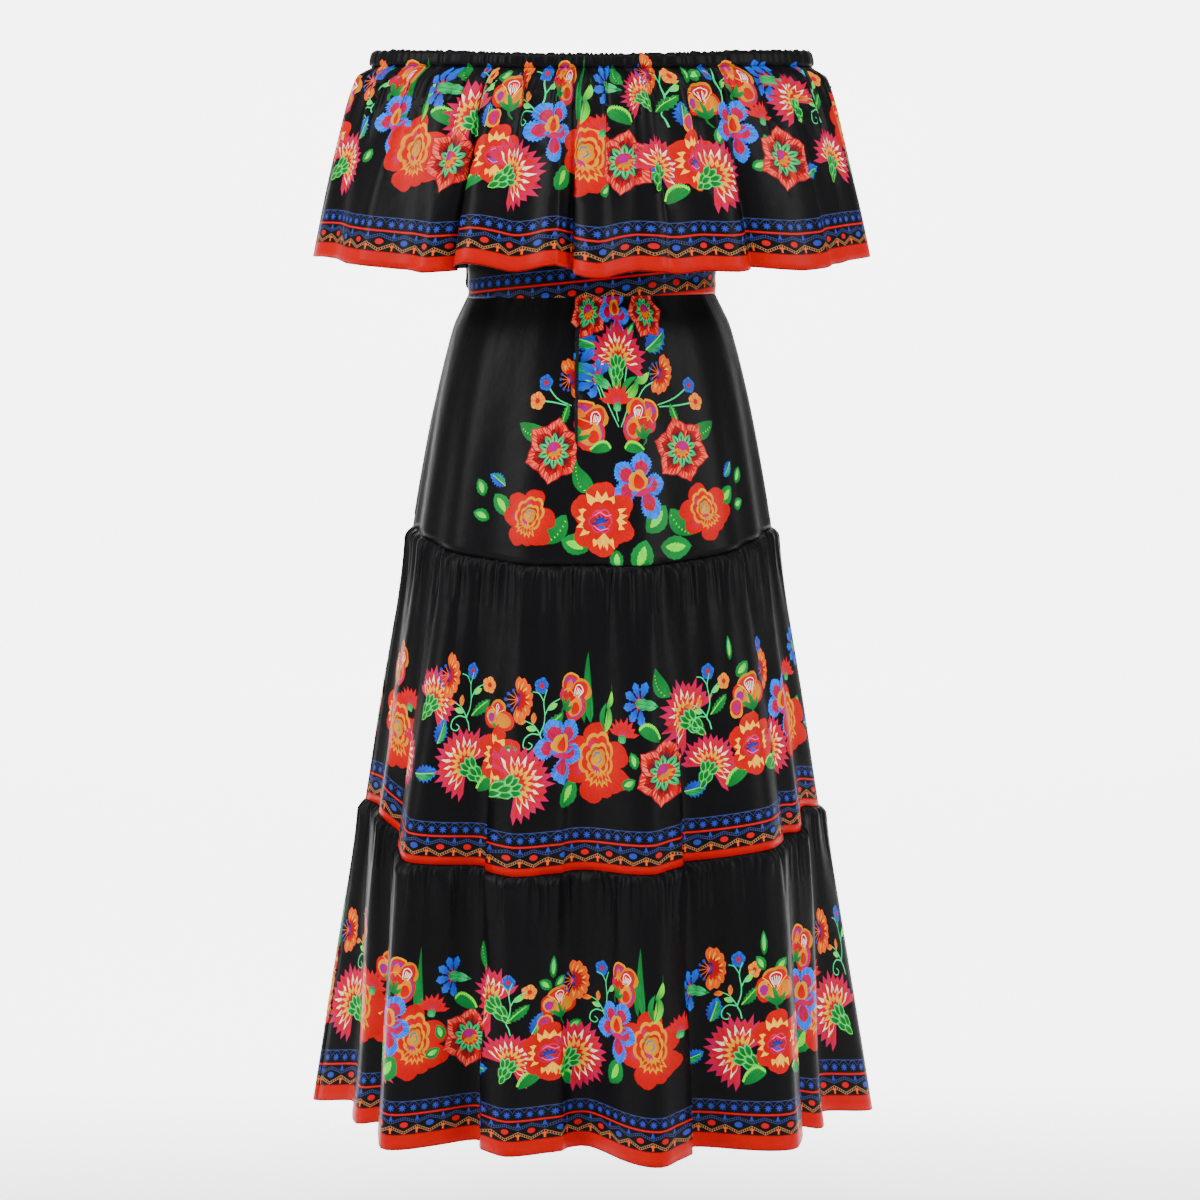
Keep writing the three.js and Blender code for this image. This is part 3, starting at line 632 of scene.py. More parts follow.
# %% Rose
def rose(b):
    petals = ((0, 24, 17, 17, 0), (-21, 12, 18, 15, 40), (24, 7, 17, 16, 80), (-22, -9, 17, 15, 10),
              (24, -19, 18, 15, 60), (-4, -30, 16, 15, 30), (8, -22, 17, 17, 0))
    for x, y, wide, high, turn in petals:
        b.lay(blob(wide, high, 4, 0.1, centre=(x, y), turn=turn), SCARLET, RED, root=(0, 0), reach=(18, 44),
              thread=CRIMSON, amount=0.22)
    b.petal((-14, -12), (-30, -6), 12, PINK, RED, reach=(3, 16))
    b.lay(blob(23, 27, 8, 0.15, centre=(1, 3)), GOLD, YELLOW, reach=(8, 28), thread=ORANGE, amount=0.2)
    b.lay(blob(19, 23, 8, 0.16, centre=(1, 3)), RED, SCARLET, reach=(4, 24), thread=CRIMSON, amount=0.2)
    b.lay(blade((-2, 12), (-9, 21), 9), PINK)
    b.lay(blob(15, 17, 7, 0.16, centre=(2, 2)), GOLD, YELLOW, reach=(2, 18))
    b.lay(blob(12, 13.5, 6, 0.16, centre=(2, 2)), SCARLET, RED, reach=(2, 14))
    b.lay(blob(9.5, 10.5, 5, 0.15, centre=(2, 2)), YELLOW, GOLD, reach=(0, 12))
    b.lay(line([(-4, 3), (-1, 8), (4, 8)], 1.7), TEAL)
    b.lay(line([(1, -3), (5, 1), (4, 5)], 1.5), TEAL)
    b.lay(line([(-7, 6), (-5, 11), (0, 13)], 1.2), LEAF)
    b.lay(spikes(21, 6, 0.3, 120, 240, centre=(3, -8)), GOLD, YELLOW, root=(3, -8), reach=(2, 20))
    b.lay(spikes(17, 6, 0.34, 122, 238, centre=(3, -8)), RED, SCARLET, root=(3, -8), reach=(2, 16))
    b.lay(spikes(13.5, 5, 0.4, 120, 245, centre=(2, -7)), YELLOW, GOLD, root=(3, -8), reach=(2, 14))
    b.lay(spikes(9, 4, 0.45, 140, 260, centre=(0, -5)), MAGENTA, PINK, root=(0, -5), reach=(1, 9))


count_shapes(rose)


# %% Tulip roses
def tulip_rose(b):
    b.lay(blob(13, 15, 3, 0.1, centre=(-4, 11), turn=20), GOLD, YELLOW, root=(0, -6), reach=(6, 30))
    b.lay(blob(11.2, 13.2, 3, 0.1, centre=(-4, 10.6), turn=20), RED, SCARLET, root=(0, -6), reach=(6, 30),
          thread=CRIMSON, amount=0.4)
    b.lay(blob(12, 13, 3, 0.14, centre=(10, 8), turn=70), YELLOW, GOLD, root=(2, -4), reach=(4, 20))
    b.lay(blob(9.8, 10.8, 3, 0.14, centre=(9, 7)), RED, SCARLET, root=(2, -4), reach=(4, 20), thread=CRIMSON,
          amount=0.4)
    b.lay(blob(8, 3.6, 3, 0.1, centre=(-5, 16)), MAGENTA, PURPLE, root=(0, 0), reach=(4, 18))
    b.lay(blade((-5, 2), (-4, 18), 9), YELLOW, ORANGE, root=(-5, 4), reach=(0, 13), thread=RED, amount=0.4)
    b.lay(blob(14, 17, 3, 0.1, centre=(5, -9), turn=160), RED, SCARLET, root=(-6, 0), reach=(4, 30),
          thread=CRIMSON, amount=0.4)
    b.lay(blob(10.6, 13, 3, 0.1, centre=(6, -9.6), turn=200), MAGENTA, PURPLE, root=(-6, 0), reach=(10, 30))
    b.lay(blob(9.4, 12, 3, 0.12, centre=(5, -9), turn=180), YELLOW, GOLD, root=(-6, 0), reach=(6, 26),
          thread=ORANGE, amount=0.5)
    b.lay(blob(5.4, 6.6, 3, 0.12, centre=(6, -12), turn=180), RED, SCARLET, root=(-6, 0), reach=(6, 26))
    b.petal((-8, -8), (-15, 9), 10, RED, PINK, bend=-0.1, reach=(2, 18), thread=CRIMSON, amount=0.4)
    b.petal((-5, -6), (4, 9), 11, SCARLET, RED, reach=(0, 16), thread=CRIMSON, amount=0.4)
    for k in range(4):
        b.lay(line([(5 + 1.6 * k, 3), (6.5 + 1.7 * k, 10 - 0.8 * k)], 0.75, steps=2), PALE)
    b.lay(line([(3, 1), (4, 11), (9, 13), (13, 7), (8, 0)], 0.8, steps=4), PALE)
    b.lay(line([(-13, 5), (-6, 8), (2, 3), (12, -3)], 1.2, steps=4), YELLOW)
    for tip in ((-15, -1), (-3, -1), (3, -9)):
        b.petal((-11, -14), tip, 5, GREEN, LEAF, bend=0.14, reach=(2, 14))
    b.lay(line([(-9, -10), (-13, -15), (-12, -21)], 3.4, 1.6), GREEN)


def round_tulip(b):
    b.lay(blob(19, 15, 5, 0.12, centre=(0, 8)), YELLOW, GOLD, root=(0, -8), reach=(8, 30))
    b.lay(blob(16.5, 12, 5, 0.14, centre=(0, 8)), RED, SCARLET, root=(0, -8), reach=(6, 26), thread=CRIMSON,
          amount=0.3)
    b.lay(blob(13, 14, 3, 0.1, centre=(-12, 1), turn=30), RED, SCARLET, root=(0, -10), reach=(4, 26),
          thread=CRIMSON, amount=0.3)
    b.lay(blob(9, 9.5, 3, 0.1, centre=(-13, 1)), GOLD, YELLOW, root=(0, -10), reach=(6, 24), thread=ORANGE,
          amount=0.4)
    b.lay(blob(5.4, 5.6, 3, 0.1, centre=(-14, 0)), MAGENTA, PURPLE, root=(0, -10), reach=(6, 24))
    b.lay(blob(12, 13, 3, 0.1, centre=(14, -1), turn=60), RED, SCARLET, root=(0, -10), reach=(4, 26))
    b.lay(blob(8.5, 9.5, 3, 0.1, centre=(13, -1), turn=60), YELLOW, GOLD, root=(0, -10), reach=(4, 24),
          thread=ORANGE, amount=0.4)
    b.petal((0, -10), (-3, 12), 17, SCARLET, RED, reach=(2, 24), thread=CRIMSON, amount=0.4)
    b.petal((0, -10), (7, 5), 9, GOLD, ORANGE, reach=(2, 16))
    b.lay(blade((-1, -10), (-8, 5), 8), YELLOW, GOLD, root=(0, -10), reach=(2, 16))
    for k in range(4):
        b.lay(line([(-2 + 1.8 * k, 4), (-3.5 + 2.8 * k, 14 - abs(k - 1.5))], 0.8, steps=2), PALE)
    b.lay(line([(-1, 2), (-6, 13), (1, 17), (8, 13), (2, 2)], 0.8, steps=4), PALE)
    b.lay(line([(-15, 13), (-8, 8), (0, -2), (8, 7), (14, 12)], 0.8, steps=3), CREAM)
    for tip in ((-14, -7), (-4, 3), (11, -4), (2, -6)):
        b.petal((0, -17), tip, 5.5, GREEN, LEAF, bend=0.1, reach=(2, 16))
    b.lay(line([(0, -14), (1, -20), (7, -26)], 3.2, 1.6), GREEN)


def tulip_bud(b):
    b.lay(blob(10, 11, 4, 0.12), GOLD, YELLOW, reach=(2, 12))
    b.lay(blob(8, 8.5, 3, 0.12, centre=(0, 1)), SCARLET, PINK, root=(0, -6), reach=(2, 14), thread=CRIMSON,
          amount=0.3)
    b.petal((0, -7), (0, 6), 6, MAGENTA, PURPLE, reach=(2, 12))


count_shapes(tulip_rose, round_tulip, tulip_bud)


# %% Anemone and peony
def anemone(b):
    rim = np.array([(-4, 5), (-11, 12), (-14, 18), (-13, 24), (-8.6, 29), (-3, 32.5), (0.5, 36), (4, 32),
                    (9.4, 28.5), (13.6, 23.5), (13.8, 17.5), (10.5, 12), (4, 5)])
    for k in (0, 2, 4, 1, 3, 5):
        a = math.radians(60 * k + 8)
        side = np.array([math.cos(a), -math.sin(a)])
        out = np.array([math.sin(a), math.cos(a)])
        b.lay(rim[:, :1] * side * 1.05 + rim[:, 1:] * out, WINE, CRIMSON, reach=(14, 30))
        b.lay(rim[:, :1] * side * 0.95 + rim[:, 1:] * out * 0.97, RED, SCARLET, reach=(12, 26), thread=CORAL,
              amount=0.55)
        b.lay(rim[:, :1] * side * 0.66 + rim[:, 1:] * out * 0.76, CRIMSON, RED, reach=(12, 24), thread=WINE,
              amount=0.6)
        b.lay(spikes(27, 5, 0.42, 60 * k - 13, 60 * k + 29, root=8), WINE, CRIMSON, reach=(16, 28))
        b.lay(spikes(22, 4, 0.4, 60 * k - 6, 60 * k + 22, root=8), NAVY, WINE, reach=(13, 23), thread=BLACK,
              amount=0.5)
    for k in range(10):
        a = math.radians(36 * k)
        tip = (19 * math.sin(a), 19 * math.cos(a))
        b.lay(blade((6 * math.sin(a), 6 * math.cos(a)), tip, 6.8), MINT, LEAF, reach=(8, 22))
        b.lay(blade((8 * math.sin(a), 8 * math.cos(a)), (15.5 * math.sin(a), 15.5 * math.cos(a)), 2.2,
                    steps=4), GREEN)
    b.lay(disc(9.6, 10), RED, SCARLET, reach=(2, 10))
    b.lay(spikes(10, 5, 0.4, 60, 250, root=1), GOLD, YELLOW, reach=(1, 10), thread=RED, amount=0.4)
    b.lay(blob(6.2, 4.8, 4, 0.1, centre=(-1.5, 4)), MAGENTA, PURPLE, root=(-1.5, 4), reach=(1, 7))


def peony(b):
    petals = ((0, 21, 15, 13, 0), (-16, 9, 14, 14, 50), (17, 10, 14, 13, 20), (-14, -13, 13, 13, 10),
              (17, -10, 13, 13, 70), (1, -22, 15, 12, 30))
    for x, y, wide, high, turn in petals:
        b.lay(blob(wide, high, 4, 0.12, centre=(x, y), turn=turn), RED, SCARLET, reach=(14, 36),
              thread=CRIMSON, amount=0.25)
    for start, end, radius in ((-40, 40, 26), (60, 120, 25), (225, 300, 25), (150, 205, 28)):
        b.lay(spikes(radius, 4, 0.24, start, end, root=10), CREAM, CREAM, reach=(10, 28), thread=ORANGE,
              amount=0.3)
    b.lay(blob(19, 18, 8, 0.2, centre=(0, -1)), SCARLET, RED, reach=(2, 20), thread=CRIMSON, amount=0.3)
    b.lay(blob(12, 11, 6, 0.2, centre=(-1, -2)), ROSE_PINK, PINK, reach=(2, 12))
    b.lay(blob(10.6, 9.6, 6, 0.2, centre=(-1, -2)), SCARLET, CRIMSON, reach=(2, 12))
    b.lay(spikes(8.5, 5, 0.4, -110, 80, centre=(-1, -4), root=1), BLUE, NAVY, root=(-1, -4), reach=(1, 9))
    b.lay(spikes(6, 3, 0.4, 110, 230, centre=(-1, -5), root=1), BLUE, SKY, root=(-1, -4), reach=(1, 9))
    b.lay(line([(-7, 3), (-2, 6), (4, 3), (9, 4)], 0.9, steps=3), HOT_PINK)
    b.lay(line([(-8, -6), (-2, -10), (6, -8)], 0.9, steps=3), HOT_PINK)
    b.lay(spikes(14, 5, 0.34, 140, 225, centre=(2, -12), root=1), CREAM, CREAM, root=(2, -12), reach=(2, 14),
          thread=RED, amount=0.4)


count_shapes(anemone, peony)


# %% Pansy and daisy
def feathered(b, centre, tip, wide):
    """A petal with a feathery blue rim and a warm heart."""
    c, t = np.array(centre, float), np.array(tip, float)
    b.lay(blade(c, t + (t - c) * 0.16, wide, belly=0.6, teeth=9, depth=0.18), BLUE, SKY, root=centre,
          reach=(8, 26), thread=AZURE, amount=0.7)
    b.lay(blade(c + (t - c) * 0.08, c + (t - c) * 0.84, wide * 0.64, belly=0.6, teeth=4, depth=0.1), CRIMSON,
          RED, root=centre, reach=(6, 22), thread=MAGENTA, amount=0.8)


def pansy(b):
    feathered(b, (-3, 4), (-14, 26), 25)
    feathered(b, (4, 4), (15, 27), 26)
    feathered(b, (0, 2), (-26, -2), 25)
    feathered(b, (2, -4), (6, -33), 25)
    feathered(b, (2, 0), (25, -7), 24)
    b.lay(blob(12, 11, 5, 0.16, centre=(1, 5)), GOLD, YELLOW, root=(1, 5), reach=(2, 12))
    b.petal((1, -3), (2, 13), 12, SCARLET, RED, belly=0.35, reach=(2, 16))
    b.lay(line([(-10, -3), (0, -6), (12, -3), (18, 1)], 3.2, 2.2), SKY)
    b.petal((-8, -7), (15, -7), 7, MAGENTA, PINK, reach=(2, 20), thread=SCARLET, amount=0.4)


def daisy(b):
    for k in range(8):
        a = math.radians(-6 + 27.5 * k)
        root, tip = (2 * math.sin(a) - 4, 2 * math.cos(a)), (17 * math.sin(a) - 4, 24 * math.cos(a))
        b.lay(blade(root, tip, 11.5, belly=0.64), RUST, ORANGE, root=(-5, 0), reach=(4, 20), thread=RED,
              amount=0.3)
        inner = (13.5 * math.sin(a) - 4, 19.5 * math.cos(a))
        b.lay(blade((5 * math.sin(a) - 4, 8 * math.cos(a)), inner, 3.6, steps=5), CREAM, YELLOW, root=(-5, 0),
              reach=(6, 20))
    b.lay(spikes(14.5, 9, 0.35, -10, 190, centre=(-5, 0)), CRIMSON, RED, root=(-5, 0), reach=(3, 14))
    b.lay(blob(4, 7, 4, 0.1, centre=(-6, 0)), PURPLE, NAVY, root=(-6, 0), reach=(0, 6))
    for x, y in ((-18, 5), (-20, -1), (-17, -7), (-13, 9), (-13, -11)):
        b.lay(line([(-6, 0), (x, y)], 0.8, steps=2), ORANGE)
        b.lay(disc(1.9, 1.9, centre=(x, y), steps=7), BLUE)


count_shapes(pansy, daisy)


# %% Stems of the bouquet
def bouquet_stems(b):
    leaves = (((-5, 26), (-3, 62), 0.08), ((1, 22), (8, 64), -0.05), ((-2, 24), (-14, 60), 0.1))
    for root, tip, bend in leaves:
        b.petal(root, tip, 7, GREEN, LEAF, bend=bend, reach=(0, 40), thread=LIME, amount=0.5)
    stems = (
        [(0, 40), (-3, 16), (0, 0)], [(-30, 52), (-14, 20), (0, -6)], [(32, 52), (16, 20), (3, -6)],
        [(-62, 50), (-30, 40), (-20, 22)], [(66, 44), (38, 36), (24, 20)],
        [(-93, 40), (-78, 24), (-58, 16)], [(-102, 21), (-84, 20), (-62, 16)],
        [(99, 34), (76, 22), (52, 16)], [(105, 16), (80, 14), (54, 14)],
        [(-10, 60), (-4, 30)], [(16, 60), (8, 30)],
    )
    for points in stems:
        b.lay(line(points, 1.8, 1.2, steps=4), MINT)


count_shapes(bouquet_stems)
FLOWERS = {f.__name__: f for f in (
    small_leaf, broad_leaf, dark_leaf, blade_leaf, twisted_leaf, fringed_leaf, saw_leaf, green_saw_leaf,
    bud_leaf,
    sprig, bare_sprig, blue_flower, orange_flower, carnation, small_carnation, cornflower, rose,
    tulip_rose, round_tulip, tulip_bud, anemone, peony, pansy, daisy, bouquet_stems)}
print("kinds of motif:", len(FLOWERS))

# %% [markdown]
# ## Where the motifs lie
#
# The flowers stand in a row above the border and come round again every few hands. On the front the
# places follow the dress, in millimetres from the middle of each tier and up from its hem. Behind, one
# stretch of the same row repeats. The yoke has a single large bouquet in the middle of its front.

# %% Places of the motifs
# kind, across, up, turn, size, and -1 where it is mirrored
FLOUNCE_FRONT = """
peony -402 135|tulip_rose -396 190|carnation -368 108 50 .9 -1|daisy -352 204|sprig -332 172
blue_flower -336 212|saw_leaf -340 150 -60|small_leaf -318 120 30|blade_leaf -279 192|tulip_rose -299 202
pansy -291 158 0 .95|rose -250 128|twisted_leaf -247 184|cornflower -228 197 -80|dark_leaf -211 214 0 .62
fringed_leaf -222 166|carnation -181 166 -52|anemone -198 121|blue_flower -176 216 0 .9
orange_flower -158 211|bare_sprig -166 170|small_leaf -135 212 60|saw_leaf -147 168 -80|daisy -101 204
round_tulip -121 189|tulip_bud -137 164|fringed_leaf -148 92 0 1 -1|peony -126 124
carnation -103 104 56 .98 -1|sprig -76 172|blue_flower -71 214|broad_leaf -42 98 25|tulip_rose -42 204
pansy -58 152|blade_leaf -10 196|rose 2 127|twisted_leaf 0 184|small_carnation 22 160 8
cornflower 31 200 -80|dark_leaf 50 212 0 .66|fringed_leaf 50 168|saw_leaf 84 108|anemone 54 118
small_leaf 26 92 60|carnation 80 190 -35 .66|daisy 99 214|bare_sprig 112 170|orange_flower 126 211
green_saw_leaf 116 181|carnation 96 112 24 .85 -1|fringed_leaf 116 84 0 1 -1|small_leaf 154 212
small_leaf 170 213 60|saw_leaf 129 170 -80|round_tulip 170 181|tulip_bud 138 160|small_leaf 179 146
peony 142 120|carnation 165 104 62 .98 -1|blue_flower 188 214|bare_sprig 194 172|pansy 210 152
tulip_rose 232 202|small_carnation 250 170 12|cornflower 279 204 -70|small_leaf 246 138 -15
small_leaf 233 114 60|anemone 268 120|saw_leaf 304 105|carnation 304 180 -20 .8|blue_flower 340 216
sprig 342 170|green_saw_leaf 352 180|orange_flower 366 206|carnation 350 114 20 .85 -1|broad_leaf 392 110
rose 408 150
"""
MIDDLE_FRONT = """
peony -352 112|round_tulip -346 160|rose -306 104|tulip_rose -322 176|small_carnation -287 146 8
carnation -262 96 40 .85 -1|carnation -210 170 30 .82 -1|saw_leaf -194 140 -65|blue_flower -157 205
orange_flower -133 193|sprig -162 157|daisy -187 197|green_saw_leaf -144 168|saw_leaf -206 96
carnation -158 108 -50 .95|fringed_leaf -130 90 0 1 -1|round_tulip -116 160 0 .9|peony -113 120
small_leaf -95 131 70|blue_flower -61 197|sprig -61 147|green_saw_leaf -46 159|daisy -83 183
carnation -86 97 60 1 -1|broad_leaf -29 84 30|blade_leaf -3 192|tulip_rose -21 184 8|rose 8 117
pansy -38 131 6|twisted_leaf 22 172|small_carnation 44 151 8|cornflower 67 178 -80|fringed_leaf 76 147
small_leaf 55 119 -20|small_leaf 49 96 60|anemone 92 104|dark_leaf 96 197|saw_leaf 140 79
carnation 132 157 -50|blue_flower 163 203|orange_flower 184 190|sprig 158 155|green_saw_leaf 174 166
carnation 158 102 26 .85 -1|bud_leaf 198 222|small_leaf 212 199 50 1.2|fringed_leaf 240 88
fringed_leaf 190 86 0 1 -1|round_tulip 219 170|tulip_bud 198 158|peony 213 117|daisy 262 186
blue_flower 256 214|carnation 262 98 60 .9 -1|pansy 298 140|small_carnation 346 162 10|small_leaf 360 122 30
rose 332 104|saw_leaf 384 100|cornflower 378 186 -70
"""
BOTTOM_FRONT = """
carnation -462 104 -50|daisy -478 180|sprig -440 156|blue_flower -432 202|peony -344 112
round_tulip -344 166|rose -396 124|tulip_rose -410 190|small_carnation -372 150 10|fringed_leaf -322 84
carnation -296 100 60 .9 -1|daisy -318 190|blade_leaf -240 187|tulip_rose -264 189|rose -246 122
pansy -279 140|broad_leaf -277 90 25|small_carnation -221 161 10|cornflower -196 192 -80
small_leaf -214 129 -20|small_leaf -222 107 60|anemone -177 120|fringed_leaf -182 162|dark_leaf -147 219
carnation -127 172 -55|saw_leaf -140 92|blue_flower -105 199|orange_flower -82 187|bare_sprig -107 152
green_saw_leaf -94 163|carnation -103 106 26 .85 -1|bud_leaf -53 212|small_leaf -63 193 -60
small_leaf -44 196 50|round_tulip -46 169 0 .92|saw_leaf -73 150 -50|tulip_bud -64 148
fringed_leaf -80 86 0 1 -1|fringed_leaf -36 82|peony -59 116|small_leaf -24 143 60|daisy -19 193
blue_flower 9 209|sprig 12 160|carnation -25 106 60 1 -1|broad_leaf 31 97 20|blade_leaf 69 199
tulip_rose 45 195|rose 80 130|pansy 34 144|twisted_leaf 90 182|small_carnation 124 147 10
saw_leaf 163 102 -10 .9|small_leaf 145 84 50|cornflower 158 176 -80|daisy 188 198|saw_leaf 186 153 -60
blue_flower 215 206|orange_flower 235 194|sprig 213 157|green_saw_leaf 229 167|carnation 216 106 -50
bud_leaf 249 220|small_leaf 243 200 -40|small_leaf 268 197 50|round_tulip 260 172|peony 260 117
fringed_leaf 288 84|fringed_leaf 232 82 0 1 -1|tulip_rose 345 194|broad_leaf 346 96 20|rose 372 128
pansy 346 142|carnation 442 104 -45|daisy 428 186|sprig 462 156|blue_flower 466 204
small_carnation 402 150 10|peony 300 116 20 .9
"""
BOUQUET = """
bouquet_stems 33 150|cornflower -8 206 -70|twisted_leaf 58 190 40 1.1|saw_leaf -6 236 20 1.15 -1
saw_leaf 92 234 -20 1.4|anemone -5 262 0 .8|anemone 84 262 20 .8|pansy 35 262 0 .8|bud_leaf 28 238 -10 .8
bud_leaf 56 244 40 .8|carnation 36 214 8 .92|daisy -24 196 150 .95 -1|daisy 96 196 30 .95
cornflower 8 194 -60 .9|blue_flower -60 190|blue_flower 132 184|orange_flower -69 171 0 1.1
orange_flower 138 166 0 1.1|green_saw_leaf -33 157 -30 .8|green_saw_leaf 106 155 30 .8 -1
small_carnation 32 176 0 1.1|dark_leaf -72 142 -50|dark_leaf 140 138 50 1 -1|tulip_rose -3 146 0 1.05
tulip_rose 62 150 30 1.05 -1|anemone -45 119|anemone 111 117 40|fringed_leaf 12 122 20 .8 -1
fringed_leaf 50 122 -20 .8|dark_leaf -8 92 0 1.1|dark_leaf -42 38 -110 1.1|dark_leaf 104 42 110 1.1 -1
broad_leaf 72 48 35 1.05|pansy 54 82 -20 1.05|broad_leaf -19 20 -80 .9|broad_leaf 94 18 85 1.05
broad_leaf 52 10 10 1.05|small_leaf 28 6 170 1.2|broad_leaf -106 58 -50 .8|broad_leaf 162 62 50 .8
small_leaf -128 44 -80 1.1|small_leaf 186 48 80 1.1|saw_leaf -112 84 -140 .8|saw_leaf 172 88 -50 .8 -1
small_leaf -132 74 -30 1.1|small_leaf 192 78 30 1.1|rose -71 50 20 .74|rose 131 50 -20 .74
peony 11 48 0 1.15
"""
MOTIFS = {"flounce": FLOUNCE_FRONT, "middle_tier": MIDDLE_FRONT, "bottom_tier": BOTTOM_FRONT, "yoke": BOUQUET}
# the stretch that repeats behind: where it starts, and its width
REPEAT = {"flounce": (-110, 255), "middle_tier": (-60, 322), "bottom_tier": (-250, 320)}


def rows_of(text):
    return [item.split() for item in text.replace("\n", "|").split("|") if item.strip()]


def draw_row(board, kind, shift=0, between=(-1e9, 1e9)):
    for words in rows_of(MOTIFS[kind]):
        across, up = float(words[1]), float(words[2])
        if between[0] <= across < between[1]:
            turn, size, flip = (float(word) for word in (words[3:] + ["0", "1", "1"][len(words) - 3:]))
            board.place(across + shift, up, turn, size, flip)
            FLOWERS[words[0]](board)


def draw_panel(kind, side):
    board = Board()
    if side == "front":
        draw_row(board, kind)
    elif kind in REPEAT:
        start, period = REPEAT[kind]
        for k in range(-2, 3):
            draw_row(board, kind, shift=k * period - start - period / 2, between=(start, start + period))
    return board.shapes


print("motifs in front:", {kind: len(rows_of(text)) for kind, text in MOTIFS.items()})

# %% [markdown]
# ## From flat cloth to the dress
#
# A fine net is laid over the flat cloth, and every outline of the print is cut into it. A constrained
# triangulation does that: it keeps all the edges it is given and says which shapes each triangle lies
# in, so the topmost one gives it its ink. Each point then moves to its place on the dress, and the
# print follows the gathers and folds as real print does, with crisp edges at any distance.

# %% Cut the print into the net
# points measured along a hem and down the cloth, and lines measured down it
WIDTH_STEPS, HEIGHT_STEPS, HEIGHT_TURNS = 1441, 60, 17
# mm within which two points of the net become one
MERGE = 0.02


def widths_of(point, start, hem):
    """The way along a hem over half a ring: turns, and the length of cloth up to each."""
    turns = np.linspace(start, start + 180, WIDTH_STEPS)
    places = point(turns, hem + 0 * turns)
    return turns, np.append(0, np.cumsum(np.linalg.norm(np.diff(places, axis=0), axis=1)))


def height_of(point, start, seam, hem):
    """The mean length of cloth from seam to hem."""
    below = np.linspace(seam, hem, HEIGHT_STEPS)
    lines = [point(start + turn + 0 * below, below) for turn in np.linspace(10, 170, HEIGHT_TURNS)]
    return float(np.mean([np.linalg.norm(np.diff(line, axis=0), axis=1).sum() for line in lines]))


def net_points(width, rows):
    """Rows of points over a strip of cloth: for each row its height and the distance between its points."""
    points = []
    for up, pitch in rows:
        count = max(2, int(round(width / pitch)))
        points.append(np.stack([np.linspace(0, width, count + 1), np.full(count + 1, up)], -1))
    return np.concatenate(points)


def inside(points, width, low, high):
    """Keeps an outline on the cloth by pulling what sticks out back to the edge."""
    return np.stack([np.clip(points[:, 0], 0, width), np.clip(points[:, 1], low, high)], -1)


def covers(outline, points):
    """Which points lie inside a closed outline, by counting how often it winds round them."""
    x, y = points[:, :1], points[:, 1:]
    ax, ay = outline[:, 0], outline[:, 1]
    bx, by = np.roll(ax, -1), np.roll(ay, -1)
    left = (bx - ax) * (y - ay) - (x - ax) * (by - ay) > 0
    return (np.sum((ay <= y) & (by > y) & left, 1) - np.sum((ay > y) & (by <= y) & ~left, 1)) != 0


def reaches(outline, width, low, high):
    """Whether any of an outline lies on the cloth."""
    across, up = outline[:, 0], outline[:, 1]
    return across.max() > 1 and across.min() < width - 1 and up.min() < high - 0.5 and up.max() > low + 0.5


def cut_print(width, low, high, net, shapes):
    """Triangles over the net with all outlines cut in, and the topmost shape that each one lies in."""
    points, edges, kept, count = [net], [], [], len(net)
    for shape in shapes:
        outline = shape["outline"] + (width / 2, 0)
        if reaches(outline, width, low, high):
            points.append(inside(outline, width, low, high))
            at = np.arange(count, count + len(outline))
            edges += np.stack([at, np.roll(at, -1)], -1).tolist()
            kept.append(shape)
            count += len(outline)
    flat = [tuple(p) for p in np.concatenate(points)]
    verts, _, triangles, *_ = delaunay_2d_cdt(flat, edges, [], 0, MERGE, False)
    verts, triangles = np.array([tuple(v) for v in verts]), np.array(triangles)
    middles = verts[triangles].mean(1)
    by_across = np.argsort(middles[:, 0])
    sorted_across = middles[by_across, 0]
    top = np.full(len(triangles), -1)
    for k, outline in enumerate(points[1:]):
        first, last = np.searchsorted(sorted_across, (outline[:, 0].min(), outline[:, 0].max()))
        near = by_across[first:last]
        near = near[np.abs(middles[near, 1] - outline[:, 1].mean()) <= np.ptp(outline[:, 1]) + 1]
        top[near[covers(outline, middles[near])]] = k
    return verts, triangles, top, kept


print("a strip of net 100 mm wide has", len(net_points(100, [(0, 8.2), (8, 8.2)])), "points")

# %% [markdown]
# ## Sheets
#
# A sheet of cloth carries two maps and two inks at its corners. One map gives the place on the flat
# cloth, for the border and the weave, and the other the way from the root of a petal, for its
# threads. The sheet is then thickened inwards, as its outer face is the one that the solid gives.

# %% Give a sheet its inks and coordinates
def corner_layers(mesh, flat, triangles, top, shapes, width, border):
    """Writes the maps and inks; border is the height of the cloth's lower edge over the red band's top."""
    corners = triangles.ravel()
    uv = flat[corners]
    owner = np.repeat(top, 3)
    print_ink = np.zeros((len(corners), 4))
    thread_ink = np.zeros((len(corners), 4))
    thread_at = np.zeros((len(corners), 2))
    order = np.argsort(owner, kind="stable")
    bounds = np.searchsorted(owner[order], np.arange(len(shapes) + 1))
    for k, shape in enumerate(shapes):
        chosen = order[bounds[k]:bounds[k + 1]]
        if len(chosen):
            away = uv[chosen] - (shape["root"] + (width / 2, 0))
            near, far = shape["reach"]
            share = ease((np.linalg.norm(away, axis=1) - near) / max(far - near, 1e-6))[:, None]
            print_ink[chosen, :3] = mix(shape["near"], shape["far"], share)
            print_ink[chosen, 3] = 1
            thread_ink[chosen, :3] = shape["thread"]
            thread_ink[chosen, 3] = shape["amount"]
            thread_at[chosen] = away
    for name, values in (("print_ink", print_ink), ("thread_ink", thread_ink)):
        layer = mesh.attributes.new(name, "FLOAT_COLOR", "CORNER")
        layer.data.foreach_set("color", values.astype(np.float32).ravel())
    for name, values in (("cloth", uv + (0, border)), ("threads", thread_at)):
        mesh.uv_layers.new(name=name).data.foreach_set("uv", values.astype(np.float32).ravel())


